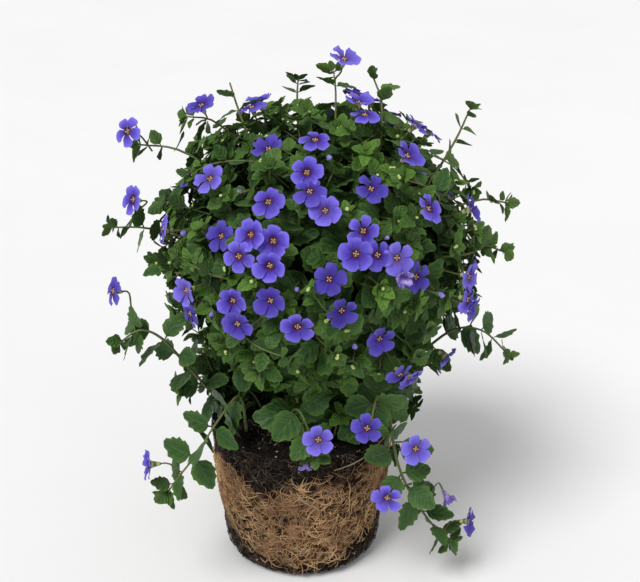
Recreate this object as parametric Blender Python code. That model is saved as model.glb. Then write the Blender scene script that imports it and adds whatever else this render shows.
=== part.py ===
"""Bacopa plant with its pot-shaped root ball: compost, root mat, leafy clumps, shoots and blooms.

Metres, +Z up. The origin is the centre of the root ball's flat base, and the front faces -Y.
"""

import math
from dataclasses import dataclass

import bmesh
import bpy
import numpy as np
from mathutils import Matrix, Vector, kdtree, noise

TURN = 2 * math.pi
UP = Vector((0, 0, 1))
SEAT_GAP = 0.0003
MERGE = 0.000001

# Root ball: compost in the shape of the pot that it grew in
PLUG_HEIGHT = 0.098
PLUG_RIM_RADIUS = 0.0585
PLUG_BASE_RADIUS = 0.0495
PLUG_BASE_ROUND = 0.009
PLUG_RIM_ROUND = 0.005
PLUG_HEAP = 0.005
PLUG_SIDES = 24
PLUG_CRUMB = 0.0012
HOLE_SIDES = 8
HOLE_SLACK = 0.0004

# Root mat round the plug's side
MAT_THICKNESS = 0.0024
MAT_RELIEF = 0.0008
MAT_COLUMNS = 44
MAT_ROWS = 7
MAT_INNER_ROWS = 3
MAT_LOWEST = 0.007
MAT_LOW_LIFT = 0.010
MAT_LOW_WAVE = 0.008
MAT_TOP = 0.073
MAT_TOP_LIFT = 0.009
MAT_TOP_WAVE = 0.007

# Crown: a ball of leaves that leans a little to the right
CROWN_CENTRE = Vector((0.012, 0.0, 0.208))
CROWN_RADII = Vector((0.094, 0.094, 0.091))
CORE_SHARE = 0.72
ROOT_SHARE = 0.65
CORE_LUMPS = 0.003
CLUMP_MEETING = Vector((0.012, 0.030, 0.0))
CLUMP_GAP = 0.0008
HEART_REACH = 0.020
HEART_HEIGHT = 0.175

# Leaf, as shares of its length: base point, half outline with its teeth, tip
LEAF_LENGTH = 0.018
CROWN_LEAF_LENGTH = 0.033
LEAF_BASE = (0.0, -0.16)
LEAF_HALF = ((0.16, 0.05), (0.42, 0.32), (0.34, 0.46), (0.35, 0.68))
LEAF_TIP = (0.0, 1.0)
LEAF_MIDDLE = 0.42
LEAF_CURL = 0.16
LEAF_FOLD = 0.22
LEAF_MID_THICKNESS = 0.0018
PAIR_OFFSET = 0.0004
CROWN_LEAVES = 176
LEAF_SPACING = 0.0026
CROWN_LEAF_TRIES = 18
CROWN_LEAF_LEAN = (28, 52)
CROWN_SEED = 7

# Bloom: each petal's points as (share of its arc, reach, lift)
BLOOM_RADIUS = 0.0095
BLOOM_TUBE = 0.0055
BLOOM_EYE = 0.0010
BLOOM_LIFT = 0.0010
BLOOM_REACH = 0.0132
PETALS = 5
PETAL_POINTS = ((0.0, 0.60, 0.4), (0.27, 1.0, 1.0), (0.73, 1.0, 1.0))
STALK_RADIUS = 0.0007
CALYX_RADIUS = 0.0015
CALYX_LENGTH = 0.003

# Stems
STEM_RADIUS = 0.0022
SHOOT_RADIUS = 0.0013
SPRIG_RADIUS = 0.0010
STEM_DEPTH = 0.014
STEM_STEP = 0.015
CLEARANCE = 0.0024

# Blooms of the crown's front, group by group: (degrees to the right of the front, degrees up,
# distance from the crown's centre as a share of its radius)
FRONT_BLOOMS = (
    ((-3, 60, 1.06),),
    ((-52, 39, 1.06),),
    ((-6, 47, 1.06), (-4, 40, 1.08), (2, 34, 1.06)),
    ((-20, 36, 1.06),),
    ((-16, 16, 1.07), (-16, 24, 1.05), (-26, 25, 1.06), (-27, 17, 1.08)),
    ((15, 27, 1.06), (11, 19, 1.08), (19, 19, 1.06), (26, 17, 1.05)),
    ((3, 12, 1.02),),
    ((43, 30, 1.07),),
    ((69, 23, 1.07),),
    ((-48, 1, 1.07),),
    ((-69, 16, 1.07),),
    ((-29, 2, 1.04), (-27, -6, 1.06)),
    ((-16, 4, 1.03),),
    ((-7, -4, 1.05),),
    ((7, 1, 1.02),),
    ((48, 70, 1.06), (70, 77, 1.08)),
    ((84, 56, 1.06), (92, 49, 1.07)),
    ((48, 49, 1.06),),
    ((59, 2, 1.06), (57, -6, 1.08), (64, -12, 1.07)),
    ((32, -30, 1.06), (40, -35, 1.07)),
    ((64, -34, 1.08),),
)

# Groups of the hidden side follow a rule
BACK_GROUPS = 11
BACK_COUNTS = (3, 2, 2)
BACK_FIRST = 120
BACK_STEP = 53
BACK_SPAN = 150
BACK_HEIGHTS = (4, 42, 22, 66, -18)
BACK_REACH = 1.06
BACK_SPACING = 8


@dataclass
class Bloom:
    """One flower: where its middle is, where it looks, its turn and its size."""

    centre: Vector
    facing: Vector
    spin: float = 0.0
    size: float = 1.0

    def matrix(self):
        side = self.facing.orthogonal().normalized()
        side.rotate(Matrix.Rotation(self.spin, 3, self.facing))
        return frame(side, self.facing, self.centre, self.size)

    def foot(self):
        """The lower end of its tube."""
        return self.centre - self.facing * BLOOM_TUBE * self.size

    def samples(self):
        points = blade_samples(bloom_rim(), Vector((0, 0, -BLOOM_EYE)), self.matrix())
        return points + [self.centre.lerp(self.foot(), share) for share in (0.5, 1.0)]

    def build(self, home):
        shape = lens(bloom_rim(), Vector((0, 0, -BLOOM_EYE)), Vector((0, 0, -BLOOM_TUBE)))
        shape.transform(self.matrix())
        return new_object("petals", shape, home)


@dataclass
class Leaf:
    """One leaf: where it joins its stem, where it points, where its upper side looks, its length."""

    base: Vector
    along: Vector
    facing: Vector
    length: float

    def matrix(self):
        foot = self.base - self.along.normalized() * LEAF_BASE[1] * self.length
        return frame(self.along, self.facing, foot, self.length)

    def middle(self):
        return Vector((0, LEAF_MIDDLE, -LEAF_CURL * LEAF_MIDDLE**2))

    def samples(self):
        return blade_samples(leaf_rim(), self.middle(), self.matrix())

    def build(self, home):
        half = Vector((0, 0, LEAF_MID_THICKNESS / 2 / self.length))
        shape = lens(leaf_rim(), self.middle() + half, self.middle() - half)
        shape.transform(self.matrix())
        return new_object("leaf", shape, home)


@dataclass
class Clump:
    """One rooted cutting: the wedge of the crown that it fills, and where its stems stand."""

    name: str
    first: float
    last: float
    feet: tuple

    def walls(self):
        """Inward normals of the wedge's two upright faces."""
        return heading(self.first + 90, 0), heading(self.last - 90, 0)

    def depth(self, *points):
        """How far inside the wedge the outermost of the points is."""
        return min((point - CLUMP_MEETING).dot(wall) for point in points for wall in self.walls())


@dataclass
class Twig:
    """A leafy stem: its foot in the compost, its route above it, its leaf pairs and its blooms."""

    name: str
    foot: tuple
    route: tuple
    pairs: tuple
    blooms: tuple = ()
    turn: float = 0.0


CLUMPS = (
    Clump("clump_front", -84, 84, ((-9, -12), (22, -15))),
    Clump("clump_right", 84, 180, ((28, 34), (20, 43))),
    Clump("clump_left", 180, 276, ((-12, 40), (1, 48))),
)

# Shoots stand near the rim and trail out below the crown. Routes are in millimetres, leaf pairs
# are shares of the route, and a bloom is its middle and where it looks.
SHOOTS = (
    Twig(
        "shoot_front_left",
        (-34, -34),
        ((-37, -43, 130), (-50, -64, 122), (-60, -70, 107), (-74, -71, 88), (-79, -71, 80)),
        (0.44, 0.62, 0.80),
        (((-88, -76, 102), (-0.9, -0.3, 0.1)),),
    ),
    Twig(
        "shoot_front",
        (-2, -46),
        ((-5, -54, 124), (0, -64, 131), (6, -70, 119), (9, -70, 106)),
        (0.46, 0.72),
        (((11, -80, 121), (0.05, -1, 0.25)),),
    ),
    Twig(
        "shoot_front_right",
        (33, -36),
        ((38, -46, 120), (45, -60, 138), (43, -69, 134), (41, -73, 122)),
        (0.5, 0.78),
        (((39, -84, 131), (-0.1, -1, 0.3)),),
    ),
    Twig(
        "shoot_trailing",
        (46, -22),
        (
            (48, -34, 124),
            (52, -54, 132),
            (56, -65, 108),
            (61, -63, 88),
            (70, -58, 66),
            (84, -53, 42),
            (94, -50, 31),
        ),
        (0.36, 0.56, 0.80),
        (
            ((68, -77, 113), (0.25, -1, 0.25)),
            ((52, -78, 80), (-0.2, -1, 0.1)),
            ((105, -54, 47), (0.9, -0.35, 0.2)),
        ),
    ),
    Twig(
        "shoot_left",
        (-46, -14),
        ((-54, -18, 116), (-68, -30, 142), (-82, -42, 168), (-94, -48, 176), (-107, -45, 166)),
        (0.5, 0.72, 0.88),
        (((-110, -36, 196), (-0.8, -0.5, 0.3)),),
    ),
    Twig(
        "shoot_right",
        (47, 8),
        ((56, 6, 114), (74, -8, 140), (93, -22, 164), (110, -29, 167), (127, -26, 150)),
        (0.52, 0.72, 0.88),
    ),
    Twig(
        "shoot_back_left",
        (-28, 38),
        ((-34, 50, 114), (-48, 70, 126), (-60, 84, 112), (-68, 92, 88)),
        (0.5, 0.7, 0.88),
        (((-60, 100, 112), (-0.4, 0.9, 0.15)),),
    ),
    Twig(
        "shoot_back_right",
        (40, 24),
        ((44, 36, 112), (52, 62, 126), (61, 82, 110), (70, 92, 82), (76, 95, 60)),
        (0.42, 0.62, 0.84),
        (((62, 101, 96), (0.3, 0.9, 0.1)),),
    ),
)

# Sprigs grow out of the crown past its leaves: degrees right of the front and up where each
# leaves the core, its tip in millimetres, and its bloom
SPRIGS = (
    (-62, 58, (-40, -2, 312), None),
    (40, 80, (20, 8, 316), ((26, 2, 325), (0.2, -0.4, 0.9))),
    (70, 62, (43, 10, 313), None),
    (76, 36, (98, -10, 298), None),
    (-84, 42, (-94, 2, 274), ((-100, -8, 285), (-0.5, -0.75, 0.4))),
    (-100, 55, (-66, 6, 290), ((-57, -2, 299), (-0.3, -0.3, 0.9))),
    (-84, 8, (-115, 2, 222), ((-98, -16, 246), (-0.7, -0.6, 0.35))),
    (88, 20, (124, 2, 238), None),
    (76, 6, (121, -18, 214), None),
    (150, 34, (58, 96, 262), None),
    (-150, 20, (-46, 104, 236), None),
    (-165, 50, (-2, 66, 298), None),
)
SPRIG_PAIRS = (0.74,)

# Young leaves at the end of every leafy stem: share of its route, share of a full leaf's length
YOUNG_PAIRS = ((0.97, 0.62),)
PAIR_TURN = math.radians(65)


def heading(right, up):
    """Unit vector at so many degrees right of the front and up."""
    right, up = math.radians(right), math.radians(up)
    return Vector((math.sin(right) * math.cos(up), -math.cos(right) * math.cos(up), math.sin(up)))


def on_crown(direction, reach):
    """The point of the crown in a direction, at a share of its radius."""
    return CROWN_CENTRE + Vector([r * d * reach for r, d in zip(CROWN_RADII, direction)])


def frame(along, facing, at, size):
    """Matrix that takes local Y to along and local Z towards facing."""
    along = along.normalized()
    facing = (facing - along * facing.dot(along)).normalized()
    turned = Matrix((along.cross(facing), along, facing)).transposed() * size
    return Matrix.Translation(at) @ turned.to_4x4()


def millimetres(*place):
    return Vector(place) / 1000


def smooth(points, step=STEM_STEP):
    """Evenly shared points along a smooth curve (Catmull-Rom) through the given ones."""
    ends = [2 * points[0] - points[1], *points, 2 * points[-1] - points[-2]]
    length = sum((b - a).length for a, b in zip(points, points[1:]))
    count = max(4, round(length / step))
    curve = []
    for i in range(count + 1):
        place = i / count * (len(points) - 1)
        first = min(int(place), len(points) - 2)
        t = place - first
        a, b, c, d = ends[first : first + 4]
        bend = (2 * a - 5 * b + 4 * c - d) * t**2 + (3 * b - a - 3 * c + d) * t**3
        curve.append(0.5 * (2 * b + (c - a) * t + bend))
    return curve


def point_on(path, share):
    """The point at a share of a path's points, and the path's direction there."""
    place = share * (len(path) - 1)
    i = min(int(place), len(path) - 2)
    return path[i].lerp(path[i + 1], place - i), (path[i + 1] - path[i]).normalized()


def along_line(points):
    """Close points along a line."""
    return [a.lerp(b, share / 5) for a, b in zip(points, points[1:]) for share in range(6)]


def clear_scene():
    for thing in list(bpy.data.objects):
        bpy.data.objects.remove(thing)


def new_collection(name):
    home = bpy.data.collections.new(name)
    bpy.context.scene.collection.children.link(home)
    return home


def new_material(name, colour, roughness):
    material = bpy.data.materials.new(name)
    material.use_nodes = True
    shader = material.node_tree.nodes["Principled BSDF"]
    shader.inputs["Base Color"].default_value = (*colour, 1)
    shader.inputs["Roughness"].default_value = roughness
    shader.inputs["Metallic"].default_value = 0
    return material


def new_object(name, shape, home):
    """An object from a bmesh, which is used up."""
    bmesh.ops.triangulate(shape, faces=shape.faces[:])
    mesh = bpy.data.meshes.new(name)
    shape.to_mesh(mesh)
    shape.free()
    thing = bpy.data.objects.new(name, mesh)
    home.objects.link(thing)
    return thing


class Space:
    """Points that other pieces already fill."""

    def __init__(self):
        self.points = []
        self.tree = None

    def add(self, points):
        self.points.extend(points)
        self.tree = None

    def free(self, points, within=CLEARANCE):
        if not self.points:
            return True
        if self.tree is None:
            self.tree = kdtree.KDTree(len(self.points))
            for i, point in enumerate(self.points):
                self.tree.insert(point, i)
            self.tree.balance()
        return all(self.tree.find(point)[2] > within for point in points)


def lens(rim, above, below):
    """A blade: two fans on one rim, from a middle point above and one below."""
    shape = bmesh.new()
    bmesh.ops.create_circle(shape, cap_ends=True, cap_tris=True, segments=len(rim), radius=1)
    middle = min(shape.verts, key=lambda vert: vert.co.length)
    edge = [vert for vert in shape.verts if vert is not middle]
    edge.sort(key=lambda vert: math.atan2(vert.co.y, vert.co.x) % TURN)
    for vert, place in zip(edge, rim):
        vert.co = place
    middle.co = above
    copy = bmesh.ops.duplicate(shape, geom=shape.verts[:] + shape.edges[:] + shape.faces[:])
    copy["vert_map"][middle].co = below
    bmesh.ops.remove_doubles(shape, verts=shape.verts[:], dist=MERGE)
    bmesh.ops.recalc_face_normals(shape, faces=shape.faces[:])
    return shape


def leaf_rim():
    """Outline of a leaf of length 1, curled down to its tip and folded up at its sides."""
    right = [Vector((x, y, 0)) for x, y in LEAF_HALF]
    left = [Vector((-x, y, 0)) for x, y in reversed(LEAF_HALF)]
    rim = [Vector((*LEAF_BASE, 0)), *right, Vector((*LEAF_TIP, 0)), *left]
    for point in rim:
        point.z = LEAF_FOLD * abs(point.x) - LEAF_CURL * max(point.y, 0) ** 2
    return rim


def bloom_rim():
    """Outline of a bloom of full size round its middle, with a notch between its petals."""
    rim = []
    for petal in range(PETALS):
        for share, reach, lift in PETAL_POINTS:
            angle = (petal + share) * TURN / PETALS
            flat = Vector((math.cos(angle), math.sin(angle), 0)) * reach * BLOOM_RADIUS
            rim.append(flat + Vector((0, 0, lift * BLOOM_LIFT)))
    return rim


def blade_samples(rim, middle, matrix):
    """Points all over a blade, close enough together to tell whether another blade meets it."""
    edge = [a.lerp(b, i / 3) for a, b in zip(rim, rim[1:] + rim[:1]) for i in range(3)]
    return [matrix @ middle.lerp(point, share) for point in edge for share in (0.25, 0.5, 0.75, 1.0)]


def tube(points, radii, home):
    """A four-sided closed stem along the points, as a mesh."""
    data = bpy.data.curves.new("stem", "CURVE")
    data.dimensions = "3D"
    data.fill_mode = "FULL"
    data.bevel_depth = 1
    data.bevel_resolution = 0
    data.use_fill_caps = True
    spline = data.splines.new("POLY")
    spline.points.add(len(points) - 1)
    for knot, place, radius in zip(spline.points, points, radii):
        knot.co = (*place, 1)
        knot.radius = radius
    curve = bpy.data.objects.new("stem", data)
    home.objects.link(curve)
    graph = bpy.context.evaluated_depsgraph_get()
    mesh = bpy.data.meshes.new_from_object(curve.evaluated_get(graph))
    bpy.data.objects.remove(curve)
    shape = bmesh.new()
    shape.from_mesh(mesh)
    bpy.data.meshes.remove(mesh)
    bmesh.ops.remove_doubles(shape, verts=shape.verts[:], dist=MERGE)
    bmesh.ops.recalc_face_normals(shape, faces=shape.faces[:])
    return new_object("stem", shape, home)


def main_body(mesh):
    """Drops loose scraps and fills hollows that joining sealed, by keeping the largest shell."""
    shape = bmesh.new()
    shape.from_mesh(mesh)
    left = set(shape.verts)
    shells = []
    while left:
        shell, edge = set(), [left.pop()]
        while edge:
            vert = edge.pop()
            shell.add(vert)
            near = {link.other_vert(vert) for link in vert.link_edges} & left
            left -= near
            edge.extend(near)
        shells.append(shell)
    largest = max(shells, key=len)
    bmesh.ops.delete(shape, geom=[vert for vert in shape.verts if vert not in largest], context="VERTS")
    shape.to_mesh(mesh)
    shape.free()
    return len(shells)


def fused(name, pieces, material, home):
    """One solid from a first piece and all that is joined to it, in one union."""
    base, repeats = pieces[0], pieces[1:]
    if repeats:
        group = new_collection("joined")
        for piece in repeats:
            for old in piece.users_collection:
                old.objects.unlink(piece)
            group.objects.link(piece)
        union = base.modifiers.new("Union", "BOOLEAN")
        union.operation = "UNION"
        union.operand_type = "COLLECTION"
        union.collection = group
        graph = bpy.context.evaluated_depsgraph_get()
        mesh = bpy.data.meshes.new_from_object(base.evaluated_get(graph))
        for piece in [base, *repeats]:
            bpy.data.objects.remove(piece)
        bpy.data.collections.remove(group)
    else:
        mesh = base.data.copy()
        bpy.data.objects.remove(base)
    shells = main_body(mesh)
    mesh.name = name
    mesh.materials.clear()
    mesh.materials.append(material)
    solid = bpy.data.objects.new(name, mesh)
    home.objects.link(solid)
    triangles = sum(len(face.vertices) - 2 for face in mesh.polygons)
    print(f"{name}: {len(repeats) + 1} joined, {shells - 1} scraps, {triangles} triangles")
    return solid


def plug_radius(height):
    """The plug's outer radius at a height, with its rounded lower edge."""
    taper = PLUG_BASE_RADIUS + (PLUG_RIM_RADIUS - PLUG_BASE_RADIUS) * height / PLUG_HEIGHT
    short = max(PLUG_BASE_ROUND - height, 0)
    return taper - PLUG_BASE_ROUND + math.sqrt(PLUG_BASE_ROUND**2 - short**2)


def plug_top(x, y):
    """Height of the compost's surface: heaped in the middle and crumbly."""
    share = min(math.hypot(x, y) / (PLUG_RIM_RADIUS - PLUG_RIM_ROUND), 1)
    crumbs = noise.noise(Vector((x, y, 0)) * 90) * PLUG_CRUMB
    return PLUG_HEIGHT + PLUG_HEAP * (1 - share**2) + crumbs


def plug_profile():
    """Half section of the plug from the middle of its base, up its side, to the middle of its top."""
    base = [(0, 0)] + [(plug_radius(z), z) for z in (0, 0.0025, PLUG_BASE_ROUND)]
    side = [(plug_radius(z), z) for z in (0.045, 0.075, PLUG_HEIGHT - PLUG_RIM_ROUND)]
    top = [(PLUG_RIM_RADIUS - PLUG_RIM_ROUND * share, PLUG_HEIGHT) for share in (0.25, 1.0)]
    return base + side + top + [(r, PLUG_HEIGHT) for r in (0.036, 0.018, 0)]


def build_plug(feet, material, home, cutters):
    """Turned compost plug with a crumbly top and a plain hole for each stem."""
    shape = bmesh.new()
    verts = [shape.verts.new((r, 0, z)) for r, z in plug_profile()]
    edges = [shape.edges.new(pair) for pair in zip(verts, verts[1:])]
    bmesh.ops.spin(
        shape, geom=verts + edges, axis=UP, cent=(0, 0, 0), steps=PLUG_SIDES, angle=TURN, use_merge=True
    )
    bmesh.ops.remove_doubles(shape, verts=shape.verts[:], dist=MERGE)
    for vert in shape.verts:
        if vert.co.z > PLUG_HEIGHT - MERGE:
            vert.co.z = plug_top(vert.co.x, vert.co.y)
        elif vert.co.z > PLUG_BASE_ROUND:
            dent = (1 + noise.noise(vert.co * 60)) * PLUG_CRUMB / 4
            vert.co.xy *= 1 - dent / vert.co.xy.length
    bmesh.ops.recalc_face_normals(shape, faces=shape.faces[:])
    plug = new_object("compost_plug", shape, home)
    plug.data.materials.append(material)
    for x, y, radius in feet:
        drill = bmesh.new()
        reach = STEM_DEPTH + HOLE_SLACK
        wide = (radius + HOLE_SLACK) / math.cos(math.pi / HOLE_SIDES)
        bmesh.ops.create_cone(
            drill, cap_ends=True, segments=HOLE_SIDES, radius1=wide, radius2=wide, depth=2 * reach
        )
        bmesh.ops.translate(drill, verts=drill.verts[:], vec=(x, y, plug_top(x, y)))
        cutter = new_object("stem_hole", drill, cutters)
        cutter.hide_render = True
        cutter.display_type = "WIRE"
    holes = plug.modifiers.new("Stem holes", "BOOLEAN")
    holes.operation = "DIFFERENCE"
    holes.operand_type = "COLLECTION"
    holes.collection = cutters
    return plug


def ragged(angle, seed):
    """A wavy number from -1 to 1 round the plug, the same at both ends of the turn."""
    return noise.noise(Vector((math.cos(angle), math.sin(angle), seed)) * 3.5)


def mat_edges(angle):
    """Where the root mat begins and ends at an angle: tallest in front, with bare compost at its sides."""
    front = math.cos(angle + math.pi / 2)
    top = MAT_TOP + MAT_TOP_LIFT * front + MAT_TOP_WAVE * ragged(angle, 1)
    low = MAT_LOWEST + MAT_LOW_LIFT * (1 - front**2) + MAT_LOW_WAVE * max(ragged(angle, 5), 0)
    return low, top


def build_mat(material, home):
    """Closed sleeve of roots: an outer wall raised into a net, and a plain inner wall on the compost."""
    outer = [(row / (MAT_ROWS - 1), True) for row in range(MAT_ROWS)]
    inner = [(row / (MAT_INNER_ROWS - 1), False) for row in reversed(range(MAT_INNER_ROWS))]
    shape = bmesh.new()
    first = bmesh.ops.create_circle(shape, segments=MAT_COLUMNS, radius=PLUG_RIM_RADIUS)["verts"]
    rings = [first]
    edges = list({edge for vert in first for edge in vert.link_edges})
    ends = edges
    for _ in outer[1:] + inner:
        grown = bmesh.ops.extrude_edge_only(shape, edges=ends)["geom"]
        rings.append([g for g in grown if isinstance(g, bmesh.types.BMVert)])
        ends = [g for g in grown if isinstance(g, bmesh.types.BMEdge)]
    bmesh.ops.bridge_loops(shape, edges=edges + ends)
    for row, (ring, (share, raised)) in enumerate(zip(rings, outer + inner)):
        for vert in ring:
            angle = math.atan2(vert.co.y, vert.co.x)
            column = round(angle / TURN * MAT_COLUMNS)
            low, top = mat_edges(angle)
            height = low + (top - low) * share
            radius = plug_radius(height) + SEAT_GAP
            if raised:
                knot = 1 if (row + column) % 2 else -0.6
                strand = 0.5 + noise.noise(vert.co.normalized() * 9 + UP * row)
                radius += MAT_THICKNESS + MAT_RELIEF * knot * strand
            vert.co = (radius * math.cos(angle), radius * math.sin(angle), height)
    bmesh.ops.recalc_face_normals(shape, faces=shape.faces[:])
    mat = new_object("root_mat", shape, home)
    mat.data.materials.append(material)
    return mat


def stem_foot(x, y):
    """The two ends of a stem's upright stretch in its hole."""
    top = plug_top(x, y)
    return [Vector((x, y, top - STEM_DEPTH)), Vector((x, y, top + 0.003))]


def leaf_pairs(path, shares, length, turn=0.0):
    """Opposite leaves along a stem, each pair turned on from the last, and a leafy tip."""
    leaves = []
    grown = [(share, 1 - 0.2 * share) for share in shares]
    for i, (share, size) in enumerate([*grown, *YOUNG_PAIRS]):
        place, ahead = point_on(path, share)
        out = (place - CROWN_CENTRE).normalized()
        facing = UP * 0.7 + out * 0.6 + ahead * 0.5
        side = ahead.cross(facing).normalized()
        side.rotate(Matrix.Rotation(turn + i * PAIR_TURN, 3, ahead))
        for sign in (1, -1):
            along = side * sign + ahead * (0.35 if share < 0.9 else 0.9)
            base = place + ahead * sign * PAIR_OFFSET
            leaves.append(Leaf(base, along, facing + ahead * 0.4, length * size))
    return leaves


def stalk_to(bloom, path):
    """Points of a bloom's stalk, from the nearest part of its stem to just below its petals."""
    end = bloom.foot() - bloom.facing * SEAT_GAP
    bend = end - bloom.facing * CALYX_LENGTH
    root = min(path, key=lambda point: (point - bend).length)
    return [root, bend, end]


def stalk(points, home):
    bend = [CALYX_RADIUS * 0.6] * (len(points) - 2)
    return tube(points, [STALK_RADIUS, *bend, CALYX_RADIUS], home)


def twig_blooms(twig):
    return [
        Bloom(millimetres(*centre), Vector(facing).normalized(), spin=i * 1.3)
        for i, (centre, facing) in enumerate(twig.blooms)
    ]


def sprig_path(right, up, tip):
    """A sprig's route from inside the core, out through the leaves and over to its tip."""
    direction = heading(right, up)
    start, out = on_crown(direction, CORE_SHARE * 0.9), on_crown(direction, 0.95)
    end = millimetres(*tip)
    return smooth([start, start.lerp(out, 0.6), out.lerp(end, 0.45) + UP * 0.003, end])


def bloom_groups():
    """Every group of the crown as a list of blooms that touch, front first."""
    chance = np.random.default_rng(CROWN_SEED)
    plans = [[(right, up, reach) for right, up, reach in group] for group in FRONT_BLOOMS]
    for i in range(BACK_GROUPS):
        right = BACK_FIRST + i * BACK_STEP % BACK_SPAN
        up = BACK_HEIGHTS[i % len(BACK_HEIGHTS)]
        count = BACK_COUNTS[i % len(BACK_COUNTS)]
        wide = math.cos(math.radians(up))
        plans.append([
            (right + BACK_SPACING * (j % 2) / wide, up + BACK_SPACING * (j // 2), BACK_REACH)
            for j in range(count)
        ])
    groups = []
    for plan in plans:
        group = []
        for right, up, reach in plan:
            centre = on_crown(heading(right, up), reach)
            if group:
                step = centre - group[-1].centre
                centre = group[-1].centre + step * min(1, BLOOM_REACH / step.length)
            nod = Vector(chance.uniform(-0.16, 0.16, 3))
            facing = (heading(right, up) + nod).normalized()
            group.append(Bloom(centre, facing, chance.uniform(0, TURN), chance.uniform(0.95, 1.05)))
        groups.append(group)
    return groups


def out_of_core(point):
    away = point - CROWN_CENTRE
    return Vector([a / r for a, r in zip(away, CROWN_RADII)]).length > CORE_SHARE + 0.02


def clump_at(point):
    return max(CLUMPS, key=lambda clump: clump.depth(point))


def crown_leaves(blocked):
    """Leaves all round the core, each leaning over and down, kept off other pieces and each other."""
    grown = Space()
    chance = np.random.default_rng(CROWN_SEED + 1)
    golden = math.pi * (3 - math.sqrt(5))
    leaves = []
    for i in range(CROWN_LEAVES):
        z = 1 - 2 * (i + 0.5) / CROWN_LEAVES
        wide = math.sqrt(1 - z * z)
        out = Vector((math.cos(i * golden) * wide, math.sin(i * golden) * wide, z))
        base = on_crown(out, ROOT_SHARE)
        down = (-UP + out * out.z).normalized() if wide > 0.1 else out.orthogonal().normalized()
        for attempt in range(CROWN_LEAF_TRIES):
            lean = math.radians(chance.uniform(*CROWN_LEAF_LEAN) + attempt)
            side = down.copy()
            side.rotate(Matrix.Rotation(chance.uniform(-1.5, 1.5), 3, out))
            along = out * math.cos(lean) + side * math.sin(lean)
            length = CROWN_LEAF_LENGTH * chance.uniform(0.92, 1.1) * (1 - 0.03 * attempt)
            leaf = Leaf(base, along, out - side * 0.2, length)
            clump = clump_at(base)
            points = leaf.samples()
            open_points = [point for point in points if out_of_core(point)]
            rooted = [point for point in points if not out_of_core(point)]
            inside = clump.depth(*rooted) > CLUMP_GAP / 2 + LEAF_MID_THICKNESS
            if inside and blocked.free(points) and grown.free(open_points, LEAF_SPACING):
                grown.add(open_points)
                leaves.append((clump, leaf))
                break
    return leaves


def clump_core(clump, home):
    """The dense inside of a clump: its wedge of a lumpy ball."""
    shape = bmesh.new()
    bmesh.ops.create_icosphere(shape, subdivisions=2, radius=1)
    for vert in shape.verts:
        lump = 1 + noise.noise(vert.co * 3) * CORE_LUMPS / CROWN_RADII.x
        vert.co = on_crown(vert.co, CORE_SHARE * lump)
    for wall in clump.walls():
        cut = bmesh.ops.bisect_plane(
            shape,
            geom=shape.verts[:] + shape.edges[:] + shape.faces[:],
            plane_co=CLUMP_MEETING + wall * CLUMP_GAP / 2,
            plane_no=wall,
            clear_inner=True,
        )
        rim = [g for g in cut["geom_cut"] if isinstance(g, bmesh.types.BMEdge)]
        bmesh.ops.edgenet_fill(shape, edges=rim)
    bmesh.ops.recalc_face_normals(shape, faces=shape.faces[:])
    return new_object("core", shape, home)


def clump_stems(clump, home):
    """The clump's stems, from their holes in the compost up into its core."""
    middle = heading((clump.first + clump.last) / 2, 0)
    heart = CLUMP_MEETING + middle * HEART_REACH + UP * HEART_HEIGHT
    stems = []
    for x, y in clump.feet:
        foot = stem_foot(x / 1000, y / 1000)
        bend = foot[1].lerp(heart, 0.4) + UP * 0.006
        path = [foot[0], *smooth([foot[1], bend, heart])]
        stems.append(tube(path, [STEM_RADIUS] * len(path), home))
    return stems


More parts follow.
